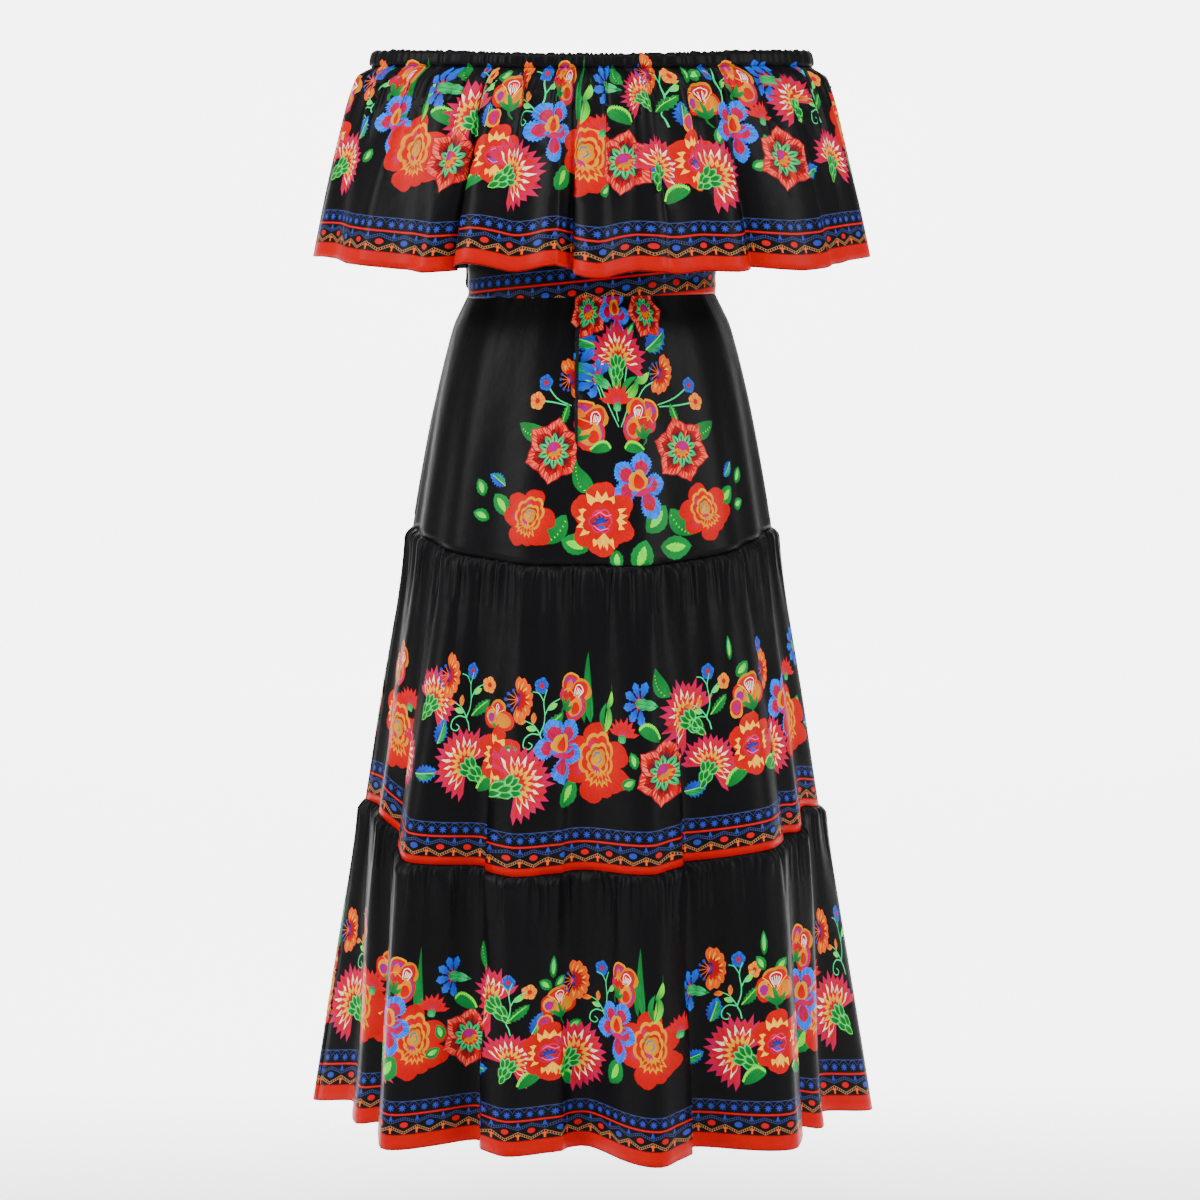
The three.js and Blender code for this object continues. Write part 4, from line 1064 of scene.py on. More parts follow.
def make_sheet(name, places, triangles, materials):
    mesh = bpy.data.meshes.new(name)
    mesh.from_pydata([tuple(p) for p in places * MM], [], [tuple(t) for t in triangles.tolist()])
    piece = bpy.data.objects.new(name, mesh)
    bpy.context.scene.collection.objects.link(piece)
    for material in materials:
        mesh.materials.append(material)
    mesh.polygons.foreach_set("use_smooth", [True] * len(mesh.polygons))
    return piece


def thicken(piece):
    bpy.ops.object.select_all(action="DESELECT")
    piece.select_set(True)
    bpy.context.view_layer.objects.active = piece
    modifier = piece.modifiers.new("thickness", "SOLIDIFY")
    modifier.thickness = CLOTH * MM
    modifier.offset = -1
    modifier.material_offset = 1
    modifier.use_rim = True
    bpy.ops.object.modifier_apply(modifier="thickness")
    return piece


def plain_sheet(name, places, flat, triangles, materials):
    """A sheet with no flowers on it: its inks are left empty, and the border shows where flat puts it."""
    piece = make_sheet(name, places.reshape(-1, 3), triangles, materials)
    corner_layers(piece.data, flat.reshape(-1, 2), triangles, np.full(len(triangles), -1), [], 0, 0)
    return thicken(piece)


print("cloth is", CLOTH, "mm thick")

# %% [markdown]
# ## Finishes
#
# The cloth is a smooth black weave with a soft shine. Its material draws the border from the cloth's
# own millimetres, lays the inks of the print over it and adds the thread lines. A small class keeps
# the node trees short.

# %% A short way to write materials
class Wires:
    def __init__(self, name):
        self.material = bpy.data.materials.new(name)
        self.material.use_nodes = True
        self.tree = self.material.node_tree
        self.shader = self.tree.nodes["Principled BSDF"]

    def new(self, kind, **settings):
        node = self.tree.nodes.new("ShaderNode" + kind)
        for key, value in settings.items():
            setattr(node, key, value)
        return node

    def join(self, value, socket):
        if isinstance(value, bpy.types.NodeSocket):
            self.tree.links.new(value, socket)
        else:
            socket.default_value = value

    def sum(self, operation, *values, clamp=False):
        """One step of arithmetic on numbers or sockets."""
        node = self.new("Math", operation=operation, use_clamp=clamp)
        for value, socket in zip(values, node.inputs):
            self.join(value, socket)
        return node.outputs[0]

    def mix(self, share, a, b):
        node = self.new("Mix", data_type="RGBA")
        for value, index in ((share, 0), (a, 6), (b, 7)):
            value = (*value, 1) if isinstance(value, np.ndarray) else value
            self.join(value, node.inputs[index])
        return node.outputs[2]

    def less(self, a, b):
        return self.sum("LESS_THAN", a, b)

    def both(self, *masks):
        result = masks[0]
        for mask in masks[1:]:
            result = self.sum("MULTIPLY", result, mask)
        return result

    def either(self, a, b):
        return self.sum("MAXIMUM", a, b)

    def away(self, a, b):
        return self.sum("ABSOLUTE", self.sum("SUBTRACT", a, b))

    def length(self, x, y):
        return self.sum("SQRT", self.sum("ADD", self.sum("POWER", x, 2.0), self.sum("POWER", y, 2.0)))

    def flat(self, name):
        node = self.new("SeparateXYZ")
        self.join(self.new("UVMap", uv_map=name).outputs[0], node.inputs[0])
        return node.outputs[0], node.outputs[1]

    def painted(self, name):
        node = self.new("Attribute", attribute_name=name)
        return node.outputs["Color"], node.outputs["Alpha"]

    def noise(self, x, y, scale=1.0, detail=2.0):
        at = self.new("CombineXYZ")
        self.join(x, at.inputs[0])
        self.join(y, at.inputs[1])
        node = self.new("TexNoise", noise_dimensions="2D")
        self.join(at.outputs[0], node.inputs["Vector"])
        node.inputs["Scale"].default_value = scale
        node.inputs["Detail"].default_value = detail
        return node.outputs[0]

    def set(self, **values):
        for name, value in values.items():
            self.join(value, self.shader.inputs[name.replace("_", " ")])

    def raise_by(self, height, strength, distance):
        bump = self.new("Bump")
        bump.inputs["Strength"].default_value = strength
        bump.inputs["Distance"].default_value = distance
        self.join(height, bump.inputs["Height"])
        self.join(bump.outputs[0], self.shader.inputs["Normal"])


print("the class Wires writes a material's nodes and links")

# %% [markdown]
# ## The border
#
# A narrow border runs along each printed hem, like a woven braid. From below: a zigzag ribbon in tan with
# small arrows, round spots in red and blue, a blue zigzag, a red line, a row of eight-rayed stars
# and two fine blue lines. It repeats so often that it is worked out in the material from the cloth's
# millimetres, with each row's height named below, instead of being cut into the net.

# %% The border
BORDER_CELL, STAR_PITCH = 29.0, 12.5
# heights above the red band in mm: a ribbon's height in the middle of a cell and at its ends
BLUE_RIBBON, TAN_RIBBON = (18.1, 13.4), (1.8, 8.6)
# half widths of a ribbon inside and outside its rims, and the distance and share of its hatching
RIBBON_INNER, RIBBON_RIM, HATCH_PITCH, HATCH_SHARE = 1.05, 1.6, 2.4, 0.3
# heights of the other rows
SPOT_ROW, TICK_ROW, ARROW_ROW, ARROWHEAD_ROW = 10.7, 18.0, 3.4, 6.2
RED_LINE_ROW, STAR_ROW, BOW_ROW, EDGE_LINE_ROW = 22.3, 29.4, 36.2, 36.9
# half width and half height of a spot, length of a star's rays and depth of the notches between them
SPOT_WIDE, SPOT_HIGH, STAR_REACH, STAR_NOTCH = 4.4, 3.1, 4.5, 2.4
TAN, LINE_BLUE, STAR_BLUE, LINE_RED = ink("9d683f"), ink("2c386c"), ink("263794"), ink("b5010d")
BAND_RED, ARROW_ORANGE = ink("ae0101"), ink("d84c01")


def woven_border(w, x, y, ground):
    """Lays the border's rows over the ground colour; y is measured up from the top of the red band."""
    cell = w.sum("DIVIDE", x, BORDER_CELL)
    share = w.sum("FRACT", cell)
    swing = w.away(w.sum("MULTIPLY", share, 2.0), 1.0)
    hatch = w.less(w.sum("FRACT", w.sum("DIVIDE", x, HATCH_PITCH)), HATCH_SHARE)

    def ribbon(heights, colour, under):
        centre = w.sum("MULTIPLY_ADD", swing, heights[1] - heights[0], heights[0])
        off = w.away(y, centre)
        inner = w.less(off, RIBBON_INNER)
        rim = w.sum("SUBTRACT", w.less(off, RIBBON_RIM), inner)
        return w.mix(w.either(rim, w.both(inner, hatch)), under, colour)

    colour = ribbon(BLUE_RIBBON, LINE_BLUE, ground)
    colour = ribbon(TAN_RIBBON, TAN, colour)
    wide = w.sum("MULTIPLY", w.away(share, 0.5), BORDER_CELL / SPOT_WIDE)
    high = w.sum("DIVIDE", w.away(y, SPOT_ROW), SPOT_HIGH)
    round_spot = w.less(w.sum("ADD", w.sum("POWER", wide, 2.0), w.sum("POWER", high, 2.0)), 1.0)
    third = w.less(w.sum("MODULO", w.sum("FLOOR", w.sum("ADD", cell, 300.0)), 3.0), 0.5)
    colour = w.mix(round_spot, colour, w.mix(third, LINE_RED, STAR_BLUE))
    beside = w.sum("MULTIPLY", w.sum("SUBTRACT", 0.5, w.away(share, 0.5)), BORDER_CELL)
    tick_edge = w.sum("MULTIPLY_ADD", y, -0.33, 7.3)
    tick = w.both(w.less(beside, tick_edge), w.less(w.away(y, TICK_ROW), 2.4))
    colour = w.mix(tick, colour, STAR_BLUE)
    shaft = w.both(w.less(beside, 1.0), w.less(w.away(y, ARROW_ROW), 2.3))
    head_edge = w.sum("MULTIPLY_ADD", y, -1.0, 7.6)
    head = w.both(w.less(beside, head_edge), w.less(w.away(y, ARROWHEAD_ROW), 1.3))
    colour = w.mix(w.either(shaft, head), colour, ARROW_ORANGE)
    colour = w.mix(w.less(w.away(y, RED_LINE_ROW), 1.1), colour, LINE_RED)
    star_share = w.sum("FRACT", w.sum("DIVIDE", x, STAR_PITCH))
    star_x = w.sum("MULTIPLY", w.sum("SUBTRACT", star_share, 0.5), STAR_PITCH)
    star_y = w.sum("SUBTRACT", y, STAR_ROW)
    turn = w.sum("ARCTAN2", star_y, star_x)
    spread = w.length(star_x, star_y)
    rays = w.sum("ABSOLUTE", w.sum("SINE", w.sum("MULTIPLY", turn, 4.0)))
    star_edge = w.sum("MULTIPLY_ADD", rays, -STAR_NOTCH, STAR_REACH)
    colour = w.mix(w.less(spread, star_edge), colour, STAR_BLUE)
    bow = w.sum("MULTIPLY_ADD", w.sum("POWER", star_x, 2.0), -0.13, BOW_ROW)
    colour = w.mix(w.less(w.away(y, bow), 0.4), colour, LINE_BLUE)
    return w.mix(w.less(w.away(y, EDGE_LINE_ROW), 0.45), colour, LINE_BLUE)


print("the border repeats every", BORDER_CELL, "mm and is", EDGE_LINE_ROW, "mm high")

# %% [markdown]
# ## Printed and plain cloth
#
# The same black cloth is used three times: printed outside, plain for the bodice, and a little greyer on
# the reverse, which has no print. Its gloss is low, so that the folds shine in soft stripes. The red
# hem band is a colour and not a piece of its own, with a stitched line and painted shade along its lowest
# edge, where the hem turns under.

# %% The cloth materials
GROUND, REVERSE = ink("0b0a0c"), ink("141216")
PRINT_SHINE = {"Roughness": 0.42, "Specular_IOR_Level": 0.065}
# heights of the top of the painted shade along the band's turned-under edge, and of its stitched line
BAND_SHADE_TOP, BAND_LINE = -15.8, -0.5
# how often the thread lines change round a root, and along them in one mm
THREADS_ROUND, THREAD_LENGTH = 15.0, 0.07


def weave(w, x, y):
    """A fine weave with soft creases, as the height of the cloth."""
    creases = w.noise(x, y, 0.035, 3.0)
    threads = w.noise(x, w.sum("MULTIPLY", y, 4.0), 0.9, 1.0)
    return w.sum("MULTIPLY_ADD", threads, 0.03, creases)


def mottled(w, x, y, shade):
    """A shade that varies a little from place to place."""
    return w.mix(w.noise(x, y, 0.6), shade * 0.85, shade * 1.2)


def printed_cloth(name):
    w = Wires(name)
    x, y = w.flat("cloth")
    colour = woven_border(w, x, y, mottled(w, x, y, GROUND))
    print_colour, printed = w.painted("print_ink")
    thread_colour, amount = w.painted("thread_ink")
    dx, dy = w.flat("threads")
    turn = w.sum("MULTIPLY", w.sum("ARCTAN2", dy, dx), THREADS_ROUND)
    strand = w.noise(turn, w.sum("MULTIPLY", w.length(dx, dy), THREAD_LENGTH), 1.0, 1.0)
    strand = w.sum("MULTIPLY_ADD", w.sum("SUBTRACT", strand, 0.5), 9.0, 0.35, clamp=True)
    inked = w.mix(w.sum("MULTIPLY", strand, amount), print_colour, thread_colour)
    colour = w.mix(printed, colour, inked)
    red = w.mix(w.noise(x, y, 0.05), BAND_RED * 0.88, BAND_RED * 1.05)
    # painted shade: the lowest strip of the red band is darkened where the hem turns under, away from the
    # light
    red = w.mix(w.less(y, BAND_SHADE_TOP), red, BAND_RED * 0.45)
    red = w.mix(w.less(w.away(y, BAND_LINE), 0.35), red, BAND_RED * 0.6)
    colour = w.mix(w.less(y, 0.0), colour, red)
    w.set(Base_Color=colour, **PRINT_SHINE)
    w.raise_by(weave(w, x, y), 0.35, 0.002)
    return w.material


def plain_cloth(name, shade):
    w = Wires(name)
    x, y = w.flat("cloth")
    w.set(Base_Color=mottled(w, x, y, shade), **PRINT_SHINE)
    w.raise_by(weave(w, x, y), 0.3, 0.002)
    return w.material


print_material = printed_cloth("printed_cloth")
plain_material = plain_cloth("plain_cloth", GROUND)
reverse_material = plain_cloth("cloth_reverse", REVERSE)
print("materials:", [m.name for m in (print_material, plain_material, reverse_material)])

# %% [markdown]
# ## The printed panels
#
# Each tier and the flounce are one rectangle of cloth in front and one behind. The lower edge keeps its
# full width, and the upper one is gathered to the seam above it.

# %% Flounce, yoke and tiers
# surface, seam above, lower edge, height of the red band, drop of the section that spaces the gathers;
# the yoke has no border, and so its border is laid out far below its cloth
PANELS = {
    "flounce": (flounce_point, CASING_BOTTOM, FLOUNCE_HEM, 17, FLOUNCE_HEM),
    "yoke": (skirt_point, WAIST_SEAM, YOKE_SEAM, -100, MIDDLE_SEAM),
    "middle_tier": (skirt_point, YOKE_SEAM, MIDDLE_SEAM, 9, MIDDLE_SEAM),
    "bottom_tier": (skirt_point, MIDDLE_SEAM, SKIRT_HEM, 17, MIDDLE_SEAM),
}
# degrees left open at each side seam, and mm left open at a seam between two pieces
SIDE_GAP, SEAM_GAP = 0.07, 0.2
# mm between two points of the net: in the fine pleats, under them and in the rest
FINE_PITCH, CLOSE_PITCH, WIDE_PITCH = 2.2, 4.6, 8.2
FINE_ROWS, YOKE_ROWS = (0, 1.5, 4, 8, 13, 19, 26, 34, 44), (0, 3, 8, 16, 26)
CLOSE_ROWS, WIDE_START = (52, 59, 66, 73), 86


def half_ring(kind, side):
    """Everything that places a panel's flat cloth: its width and height and the turn and share at a point."""
    point, seam, hem, _, even = PANELS[kind]
    start = -90 if side == "front" else 90
    turns, lengths = widths_of(point, start, hem)
    even_turns, even_lengths = widths_of(point, start, even)

    def turn_at(across):
        return np.clip(np.interp(across, lengths, turns), start + SIDE_GAP, start + 180 - SIDE_GAP)

    def share_at(degrees):
        return np.interp(degrees, even_turns, even_lengths / even_lengths[-1])

    return lengths[-1], height_of(point, start, seam, hem), turn_at, share_at


def panel_place(kind, degrees, under, share):
    """Where the flat cloth of a panel lies on the dress, with its gathers, pleats and leaning folds."""
    point, seam, hem = PANELS[kind][:3]
    rise = wide_gathers(kind, share, under) + fine_pleats(kind, share, under)
    if kind == "yoke":
        rise = rise + yoke_crease(degrees, under, *CREASE_RISE)
    places = point(degrees, seam + under, rise)
    slide = (slide_at(kind, degrees, under, hem - seam) + lean(kind, share, under))[:, None]
    if kind == "yoke":
        slide = slide + yoke_crease(degrees, under, *CREASE_SLIDE)[:, None]
    angle = np.radians(degrees)
    return places + slide * np.stack([np.cos(angle), np.sin(angle), 0 * angle], -1)


def panel_rows(kind, height):
    """Rows of the net from the seam down: close together in the pleats, and wider below them."""
    top = height - WIDE_START
    fine = [(height - drop, FINE_PITCH) for drop in (YOKE_ROWS if kind == "yoke" else FINE_ROWS)]
    close = [(height - drop, CLOSE_PITCH) for drop in CLOSE_ROWS]
    return fine + close + [(up, WIDE_PITCH) for up in np.linspace(0, top, int(top / WIDE_PITCH) + 1)]


def panel_piece(kind, side):
    seam, hem, band = PANELS[kind][1:4]
    width, height, turn_at, share_at = half_ring(kind, side)
    net = net_points(width, panel_rows(kind, height))
    flat, triangles, top, shapes = cut_print(width, 0, height, net, draw_panel(kind, side))
    degrees = turn_at(flat[:, 0])
    under = (1 - flat[:, 1] / height) * (hem - seam)
    under = np.clip(under, SEAM_GAP, hem - seam - (SEAM_GAP if kind in ("yoke", "middle_tier") else 0))
    places = panel_place(kind, degrees, under, share_at(degrees))
    name = f"{kind}_{side}_cloth"
    piece = make_sheet(name, places, triangles, (print_material, reverse_material))
    corner_layers(piece.data, flat, triangles, top, shapes, width, -band)
    print(name, round(width), "x", round(height), "mm,", len(triangles), "triangles")
    return thicken(piece)


pieces = {}
for side in ("front", "back"):
    for kind in PANELS:
        pieces[f"{kind}_{side}"] = panel_piece(kind, side)
print("panels:", len(pieces))

# %% [markdown]
# ## The neck casing
#
# The flounce's cloth goes on above its gathering seam and turns over to make a channel for the elastic.
# The channel is puckered all round, and its top edge rises a little over each pleat. A profile says
# where the cloth goes on its way up, over and down again, and the pleats are laid on its outer side.

# %% Casing
# up from the seam along the cloth, drop of the place, how far out
CASING_PROFILE = np.array([
    (0, 8, -0.2), (1.6, 6.4, -0.1), (4, 4, 0.3), (8, 0, 0.5), (12.5, -4.5, 0.1), (16, -7.9, -0.7),
    (18, -9.1, -1.7), (20, -7.9, -3.0), (24, -4, -3.6), (28, 0, -3.8), (35.8, 7.8, -3.8),
])
CASING_ROWS = (0, 0.8, 1.6, 3, 5, 7.5, 10, 12.5, 14.5, 16, 17, 18, 19, 20, 22, 25, 29, 35.8)
# mm between two points along the casing, how far its top edge rises, and the share of the flounce's
# width that its cloth has, which is given here because the net is too wide for its tightest puckers
CASING_PITCH, CREST_RISE, CASING_SHARE = 2.6, 3.6, 0.8
# how far a pleat stands out near the edges of the channel and on its swell, and the wide gathers' share
PLEAT_OUT, SWELL_OUT, GATHER_SHARE = 1.6, 2.8, 0.5
# mm under the seam at which the gathers and the pleats are taken for the casing
CASING_UNDER = 3


def casing_piece(side):
    width, height, turn_at, share_at = half_ring("flounce", side)
    top = CASING_PROFILE[-1, 0]
    net = net_points(width, [(height + up, CASING_PITCH) for up in CASING_ROWS])
    flat, triangles, owner, shapes = cut_print(width, height, height + top, net, draw_panel("flounce", side))
    up = flat[:, 1] - height
    degrees = turn_at(flat[:, 0])
    share = share_at(degrees)
    pleat = fine_pleats("flounce", share, CASING_UNDER) / FINE_PLEATS["flounce"][1] + 0.4
    swell = ease(up / 5) * ease((20 - up) / 5)
    below = np.interp(up, CASING_PROFILE[:, 0], CASING_PROFILE[:, 1])
    push = np.interp(up, CASING_PROFILE[:, 0], CASING_PROFILE[:, 2])
    outer = ease((18 - up) / 4) * ease(up / 3)
    gathers = wide_gathers("flounce", share, CASING_UNDER) * GATHER_SHARE
    push = push + gathers * outer + pleat * mix(PLEAT_OUT, SWELL_OUT, swell) * outer
    crest = ease((up - 12) / 5) * ease((24 - up) / 5)
    below = below - crest * CREST_RISE * (pleat - 0.5)
    name = f"neck_casing_{side}_cloth"
    piece = make_sheet(name, flounce_point(degrees, below, push), triangles,
                       (print_material, reverse_material))
    corner_layers(piece.data, flat, triangles, owner, shapes, width, -PANELS["flounce"][3])
    return thicken(piece)


for side in ("front", "back"):
    pieces[f"neck_casing_{side}"] = casing_piece(side)
print("casing:", round(CASING_PROFILE[-1, 0], 1), "mm of cloth, turned over")

# %% [markdown]
# ## The bodice
#
# Under the flounce a plain bodice runs from the casing to the waist and is scooped out under the arms.
# It has no folds that show, so a plain grid is bent round it: each column runs straight down from its
# own point on the scooped upper edge.

# %% Bodice
# half width, half depth and squareness of its rings
CHEST, BODICE_WAIST = (160, 114, 2.2), (130.5, 96.5, 2.1)
UNDERARM, ARMHOLE_START, CASING_INSET, BODICE_NARROW = 96, 52, 2.7, 202.5
BODICE_GRID, BODICE_FLAT, BODICE_ZERO, BODICE_RADIUS = (121, 25), (0.41, 0.19), 220, 130


def grid_triangles(columns, rows):
    """Triangles of a grid whose rows run upwards."""
    at = (np.arange(rows - 1)[:, None] * columns + np.arange(columns - 1)).ravel()
    return np.concatenate([np.stack([at, at + 1, at + columns + 1], -1),
                           np.stack([at, at + columns + 1, at + columns], -1)])


def bodice_piece(side):
    middle = 0 if side == "front" else 180
    columns, rows = BODICE_GRID
    turn = np.linspace(middle - 90, middle + 90, columns)
    turn = np.clip(turn, middle - 90 + SIDE_GAP, middle + 90 - SIDE_GAP)
    degrees, share = np.meshgrid(turn, np.linspace(1, 0, rows))
    scoop = ease((np.abs(degrees - middle) - ARMHOLE_START) / (90 - ARMHOLE_START))
    neck = flounce_point(degrees, CASING_BOTTOM + SEAM_GAP, -CASING_INSET)
    neck_radius = np.hypot(neck[..., 0], neck[..., 1])
    top_drop = mix(-neck[..., 2], UNDERARM, scoop)
    chest = section_radius(degrees, *CHEST)
    waist = section_radius(degrees, *BODICE_WAIST)
    chest_share = ease((top_drop + neck[..., 2]) / (UNDERARM + neck[..., 2]))
    top_radius = mix(neck_radius, chest, np.sqrt(chest_share))
    below = mix(top_drop, WAIST_SEAM - SEAM_GAP, share)
    body = mix(chest, waist, ease((below - UNDERARM) / (BODICE_NARROW - UNDERARM)))
    radius = mix(top_radius, body, ease(share * 2.2))
    across = np.radians(degrees - middle) * BODICE_RADIUS
    flat = np.stack([across, BODICE_ZERO - below], -1)
    name = f"bodice_{side}_cloth"
    return plain_sheet(name, ring_point(degrees, radius, below), flat, grid_triangles(columns, rows),
                       (plain_material, plain_material))


for side in ("front", "back"):
    pieces[f"bodice_{side}"] = bodice_piece(side)
print("bodice: plain, scooped", round(UNDERARM - 8), "mm down under the arms")

# %% [markdown]
# ## The sash
#
# The belt is a strip cut from the border of the same cloth, so the same material draws it. It goes
# round the waist, a little higher at one side than at the other, with slight ripples from being tied.
# The border runs a little askew on it, and so the red edge shows along a part of it only.

# %% Sash band
SASH_TOP, SASH_BOTTOM, SASH_LEVEL, SASH_RISE, SASH_THICK = 205, 254, 230, 2.5, 2.8
SASH_RING, SASH_GRID = (132.7, 99.3, 2.1), (361, 17)
# height of the border's red line on the sash, how askew it runs, and how far from the middle
SASH_LINE, SASH_SKEW, SKEW_END = 17.8, 0.077, 150
KNOT_AT, KNOT_WIDE, KNOT_HIGH, KNOT_DEEP, KNOT_CLEAR = -111, 34, 44, 14, 0.4
KNOT_MIDDLE = (SASH_TOP + SASH_BOTTOM) / 2 + SASH_RISE


def sash_place(degrees, below, push=0):
    radius = section_radius(degrees, *SASH_RING) + SASH_THICK + push
    return ring_point(degrees, radius, below - SASH_RISE * np.sin(np.radians(degrees)))


def sash_band():
    columns, rows = SASH_GRID
    wide = SASH_BOTTOM - SASH_TOP
    turn = np.linspace(KNOT_AT + 0.02, KNOT_AT + 359.98, columns)
    steps = np.diff(sash_place(turn, SASH_LEVEL + 0 * turn), axis=0)
    around = np.append(0, np.cumsum(np.linalg.norm(steps, axis=1)))
    degrees, up = np.meshgrid(turn, np.linspace(0, wide, rows))
    across = np.repeat(around[None, :], rows, 0)
    uneven = 0.6 + 0.4 * np.sin(across / 61 + 2)
    ripple = 0.5 * np.sin(up * 0.42 + 1.2 * np.sin(across / 47) + across / 120) * uneven
    edge = ease(up / 4) * ease((wide - up) / 4)
    places = sash_place(degrees, SASH_BOTTOM - up, ripple * edge - 0.4)
    front = np.clip(np.interp(0, turn, around) - across, -SKEW_END, SKEW_END)
    flat = np.stack([across, RED_LINE_ROW + (up - SASH_LINE + front * SASH_SKEW)], -1)
    return plain_sheet("sash_cloth", places, flat, grid_triangles(columns, rows),
                       (print_material, reverse_material))


pieces["sash"] = sash_band()

# %% [markdown]
# ## The sash's hanging ends
#
# Two ends come out from under the knot, spread to their full width and lie on the skirt. They are laid
# on the skirt's own surface, a little outside it, and so they follow its folds.

# %% Hanging ends of the sash
# degrees from the middle of the front, degrees it leans, width, length and slant of its end in mm
SASH_ENDS = {"sash_end_front": (-107.2, 4, 40, 225, 12), "sash_end_back": (-115.2, -9, 40, 262, -12)}
END_GRID = (17, 61)
# mm from the skirt to the middle of the end, and the width left where it leaves the knot
END_CLEAR, END_NARROW = 2.6, 0.42


def sash_end(name):
    at, leaning, wide, long, slant = SASH_ENDS[name]
    top = KNOT_MIDDLE + KNOT_HIGH / 2 + 0.4
    start = section_radius(at, *SASH_RING) + SASH_THICK + 6
    across, down = np.meshgrid(np.linspace(-2, 2, END_GRID[0]), np.linspace(1, 0, END_GRID[1]))
    share = down**1.3
    below = top + share * (long + slant * across / 2)
    width = wide * mix(END_NARROW, 1, ease(share * 1.6))
    radius = section_at(SKIRT_SECTIONS, np.full_like(below, at), below)
    degrees = at + leaning * share + np.degrees(width * across / (4 * radius))
    skin = skirt_point(degrees, below)
    settled = np.hypot(skin[..., 0], skin[..., 1]) + END_CLEAR
    near = np.maximum(mix(start, settled, ease((below - top) / 45)), settled)
    drop = mix(below, -skin[..., 2], ease(share * 4))
    fold = 1.4 * (0.5 + 0.5 * np.cos(across * 3.4 + 1.5 * share)) * mix(1.2, 0.6, share)
    flat = np.stack([below - top, RED_LINE_ROW + (width * across / 4) * 1.05], -1)
    return plain_sheet(name + "_cloth", ring_point(degrees, near + CLOTH + fold, drop), flat,
                       grid_triangles(*END_GRID), (print_material, reverse_material))


for name in SASH_ENDS:
    pieces[name] = sash_end(name)
print("sash ends:", [row[3] for row in SASH_ENDS.values()], "mm long")

# %% [markdown]
# ## The sash's knot
#
# The knot could be a strip of cloth tied in earnest, but only its outside shows, as a flat block with soft
# creases. A ball is squared off, creased by two waves and set against the waist, facing outwards.

# %% Knot of the sash
KNOT_STEPS, KNOT_SQUARE, KNOT_FULL = (64, 40), 0.72, 0.93
# width and height of the cloth laid round the knot, and how high on the border it starts
KNOT_CLOTH, KNOT_CLOTH_START = (110, 40), (0, 6)


def sash_knot():
    bpy.ops.object.select_all(action="DESELECT")
    bpy.ops.mesh.primitive_uv_sphere_add(segments=KNOT_STEPS[0], ring_count=KNOT_STEPS[1], radius=1)
    knot = bpy.context.object
    knot.name = "sash_knot_cloth"
    mesh = knot.data
    points = np.empty(len(mesh.vertices) * 3)
    mesh.vertices.foreach_get("co", points)
    points = points.reshape(-1, 3)
    square = np.sign(points) * np.abs(points) ** KNOT_SQUARE
    turn, up = np.arctan2(points[:, 1], points[:, 0]), points[:, 2]
    crease = 1 + 0.035 * np.sin(9 * up + 1.5 * np.sin(2 * turn)) + 0.03 * np.sin(5 * turn + 4 * up)
    size = np.array([KNOT_WIDE / 2, KNOT_DEEP / 2, KNOT_HIGH / 2]) * KNOT_FULL
    local = square * size * crease[:, None]
    base = sash_place(np.array([KNOT_AT]), np.array([KNOT_MIDDLE]))[0]
    ahead = sash_place(np.array([KNOT_AT - 1.0, KNOT_AT + 1.0]), np.array([KNOT_MIDDLE] * 2))
    along = (ahead[1] - ahead[0]) * (1, 1, 0)
    along /= np.linalg.norm(along)
    out = np.array([along[1], -along[0], 0])
    middle = np.array([base[0], base[1], -KNOT_MIDDLE]) + out * (KNOT_CLEAR + KNOT_DEEP / 2)
    world = middle + local[:, :1] * along + local[:, 1:2] * -out + local[:, 2:] * np.array([0, 0, 1])
    mesh.vertices.foreach_set("co", (world * MM).ravel())
    bpy.ops.object.shade_smooth()
    cloth_map = mesh.uv_layers["UVMap"]
    cloth_map.name = "cloth"
    values = np.empty(len(mesh.loops) * 2)
    cloth_map.data.foreach_get("uv", values)
    values = values.reshape(-1, 2) * KNOT_CLOTH + KNOT_CLOTH_START
    cloth_map.data.foreach_set("uv", values.ravel())
    mesh.materials.append(print_material)
    return knot


pieces["sash_knot"] = sash_knot()
print("knot:", KNOT_WIDE, "x", KNOT_HIGH, "x", KNOT_DEEP, "mm")

# %% [markdown]
# ## Floor and backdrop
#
# The dress hangs in front of a sheet of white paper that curves up from the floor without an edge. The
# paper glows a little behind the dress, as it does when a studio lights it apart, and is dimmer at
# the sides, where its light would only wash out the folds.

# %% Floor and backdrop
# mm under the neckline to the floor, half width in m, and the paper's curve: how far back and up in mm
FLOOR_DROP, PAPER_HALF = 1300, 6
SWEEP = ((-5000, 0), (4400, 0), (5100, 80), (5550, 320), (5800, 800), (5900, 1500), (5900, 5500))
PAPER_GLOW, PAPER_DIM = 4.2, 0.3


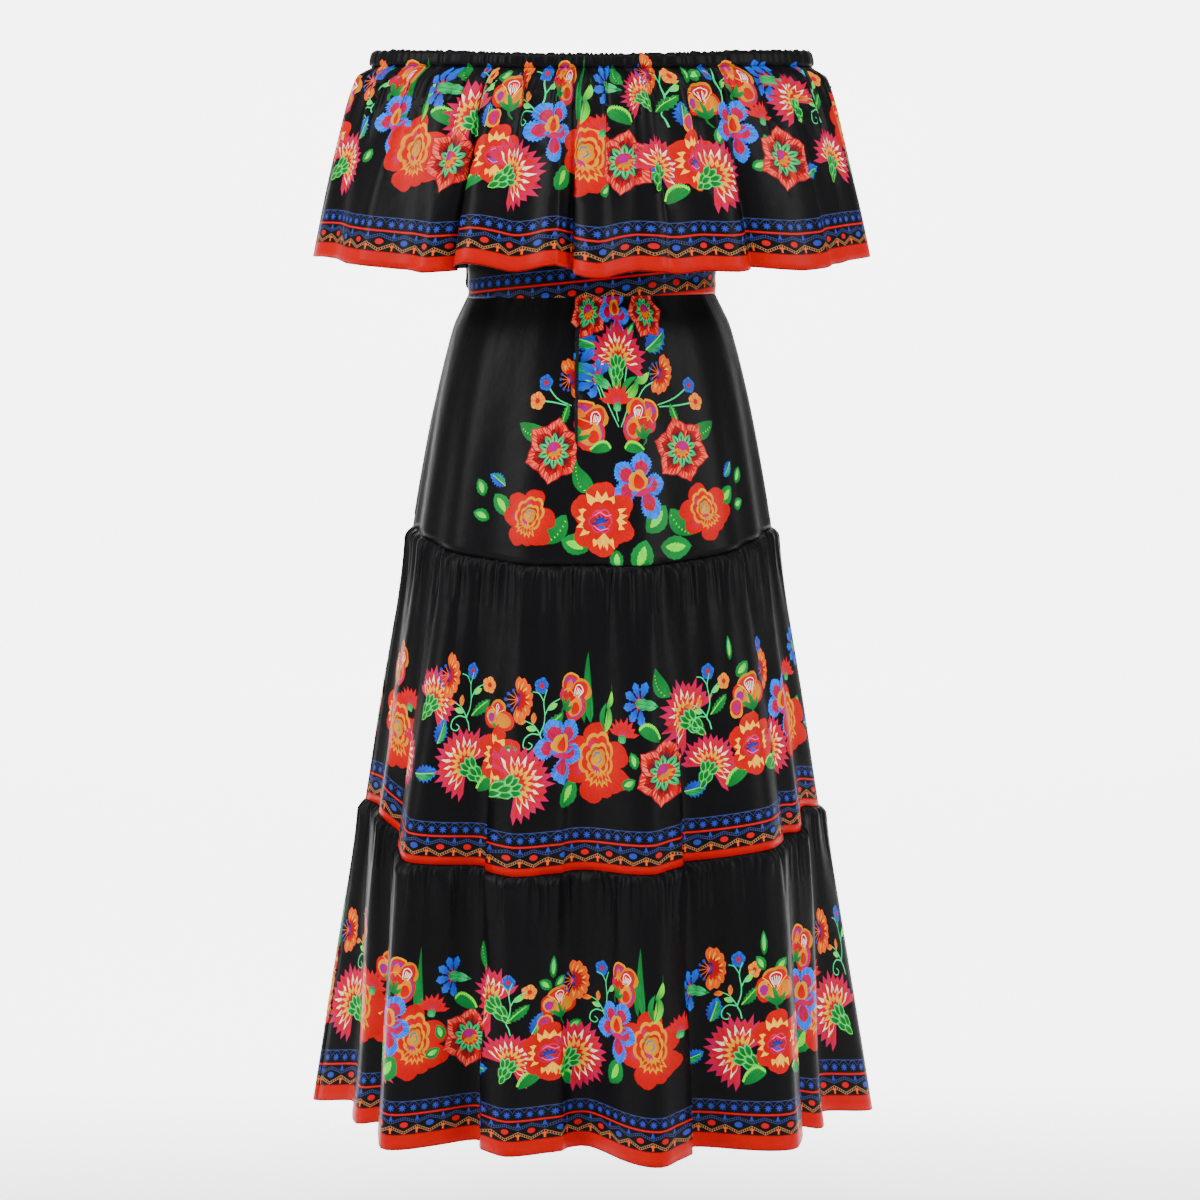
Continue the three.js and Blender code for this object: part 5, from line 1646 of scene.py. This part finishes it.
def backdrop():
    """The sheet of paper, which is part of the stage."""
    points, faces = [], []
    for k, (back, up) in enumerate(SWEEP):
        points += [(side * PAPER_HALF, back * MM, (up - FLOOR_DROP) * MM) for side in (-1, 1)]
        if k:
            faces.append((2 * k - 2, 2 * k - 1, 2 * k + 1, 2 * k))
    mesh = bpy.data.meshes.new("backdrop")
    mesh.from_pydata(points, [], faces)
    mesh.polygons.foreach_set("use_smooth", [True] * len(faces))
    floor = bpy.data.objects.new("backdrop", mesh)
    bpy.context.scene.collection.objects.link(floor)
    w = Wires("backdrop_paper")
    place = w.new("SeparateXYZ")
    w.join(w.new("TexCoord").outputs["Object"], place.inputs[0])
    behind = w.sum("MULTIPLY_ADD", place.outputs[1], 1.1, 0.33, clamp=True)
    beside = w.sum("MULTIPLY_ADD", w.sum("ABSOLUTE", place.outputs[0]), -1.6, 4.2, clamp=True)
    w.set(Base_Color=(0.8, 0.8, 0.8, 1), Roughness=0.9, Emission_Color=(1, 1, 1, 1),
          Emission_Strength=w.sum("MULTIPLY_ADD", w.both(behind, beside), PAPER_GLOW, PAPER_DIM))
    mesh.materials.append(w.material)


backdrop()
print("floor at", -FLOOR_DROP, "mm")

# %% [markdown]
# ## Light
#
# Two tall lamps stand in front at either side and a wide one hangs above. They are large, so that black
# cloth gets long soft lines of light on its folds and no hard spots.

# %% Lights
def soft_lamp(name, place, aim, size, power):
    data = bpy.data.lights.new(name, "AREA")
    data.shape = "RECTANGLE"
    data.size, data.size_y = size
    data.energy = power
    lamp = bpy.data.objects.new(name, data)
    lamp.location = place
    direction = np.array(aim) - np.array(place)
    lamp.rotation_euler = Vector(direction).to_track_quat("-Z", "Y").to_euler()
    bpy.context.scene.collection.objects.link(lamp)


# name, place and aim in m, width and height, power in watts
LAMPS = (
    ("left_lamp", (-2.9, -1.7, 1.1), (0, 0, -0.5), (1.5, 2.6), 160),
    ("right_lamp", (2.9, -1.9, 0.7), (0, 0, -0.6), (1.5, 2.6), 120),
    ("top_lamp", (-0.3, -1.9, 3.2), (0, 0, -0.5), (2.0, 1.0), 90),
)
ROOM_LIGHT = 0.4
for lamp in LAMPS:
    soft_lamp(*lamp)
world = bpy.data.worlds.new("studio")
world.use_nodes = True
world.node_tree.nodes["Background"].inputs[0].default_value = (1, 1, 1, 1)
world.node_tree.nodes["Background"].inputs[1].default_value = ROOM_LIGHT
bpy.context.scene.world = world
print("lamps:", [lamp[0] for lamp in LAMPS])

# %% [markdown]
# ## The pieces on the root
#
# Every piece is parented to the root's empty, and the solid that it covers is hidden. The knot is padded
# cloth and isn't a sheet.

# %% Attach the pieces and hide their solids
for node, piece in pieces.items():
    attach(piece, "root")
    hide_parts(node)
for node, piece in pieces.items():
    kind, _, side = node.rpartition("_")
print("pieces handed over:", len(pieces))

# %% Count the triangles and finish
print("triangles:", sum(len(piece.data.loops) - 2 * len(piece.data.polygons) for piece in pieces.values()))
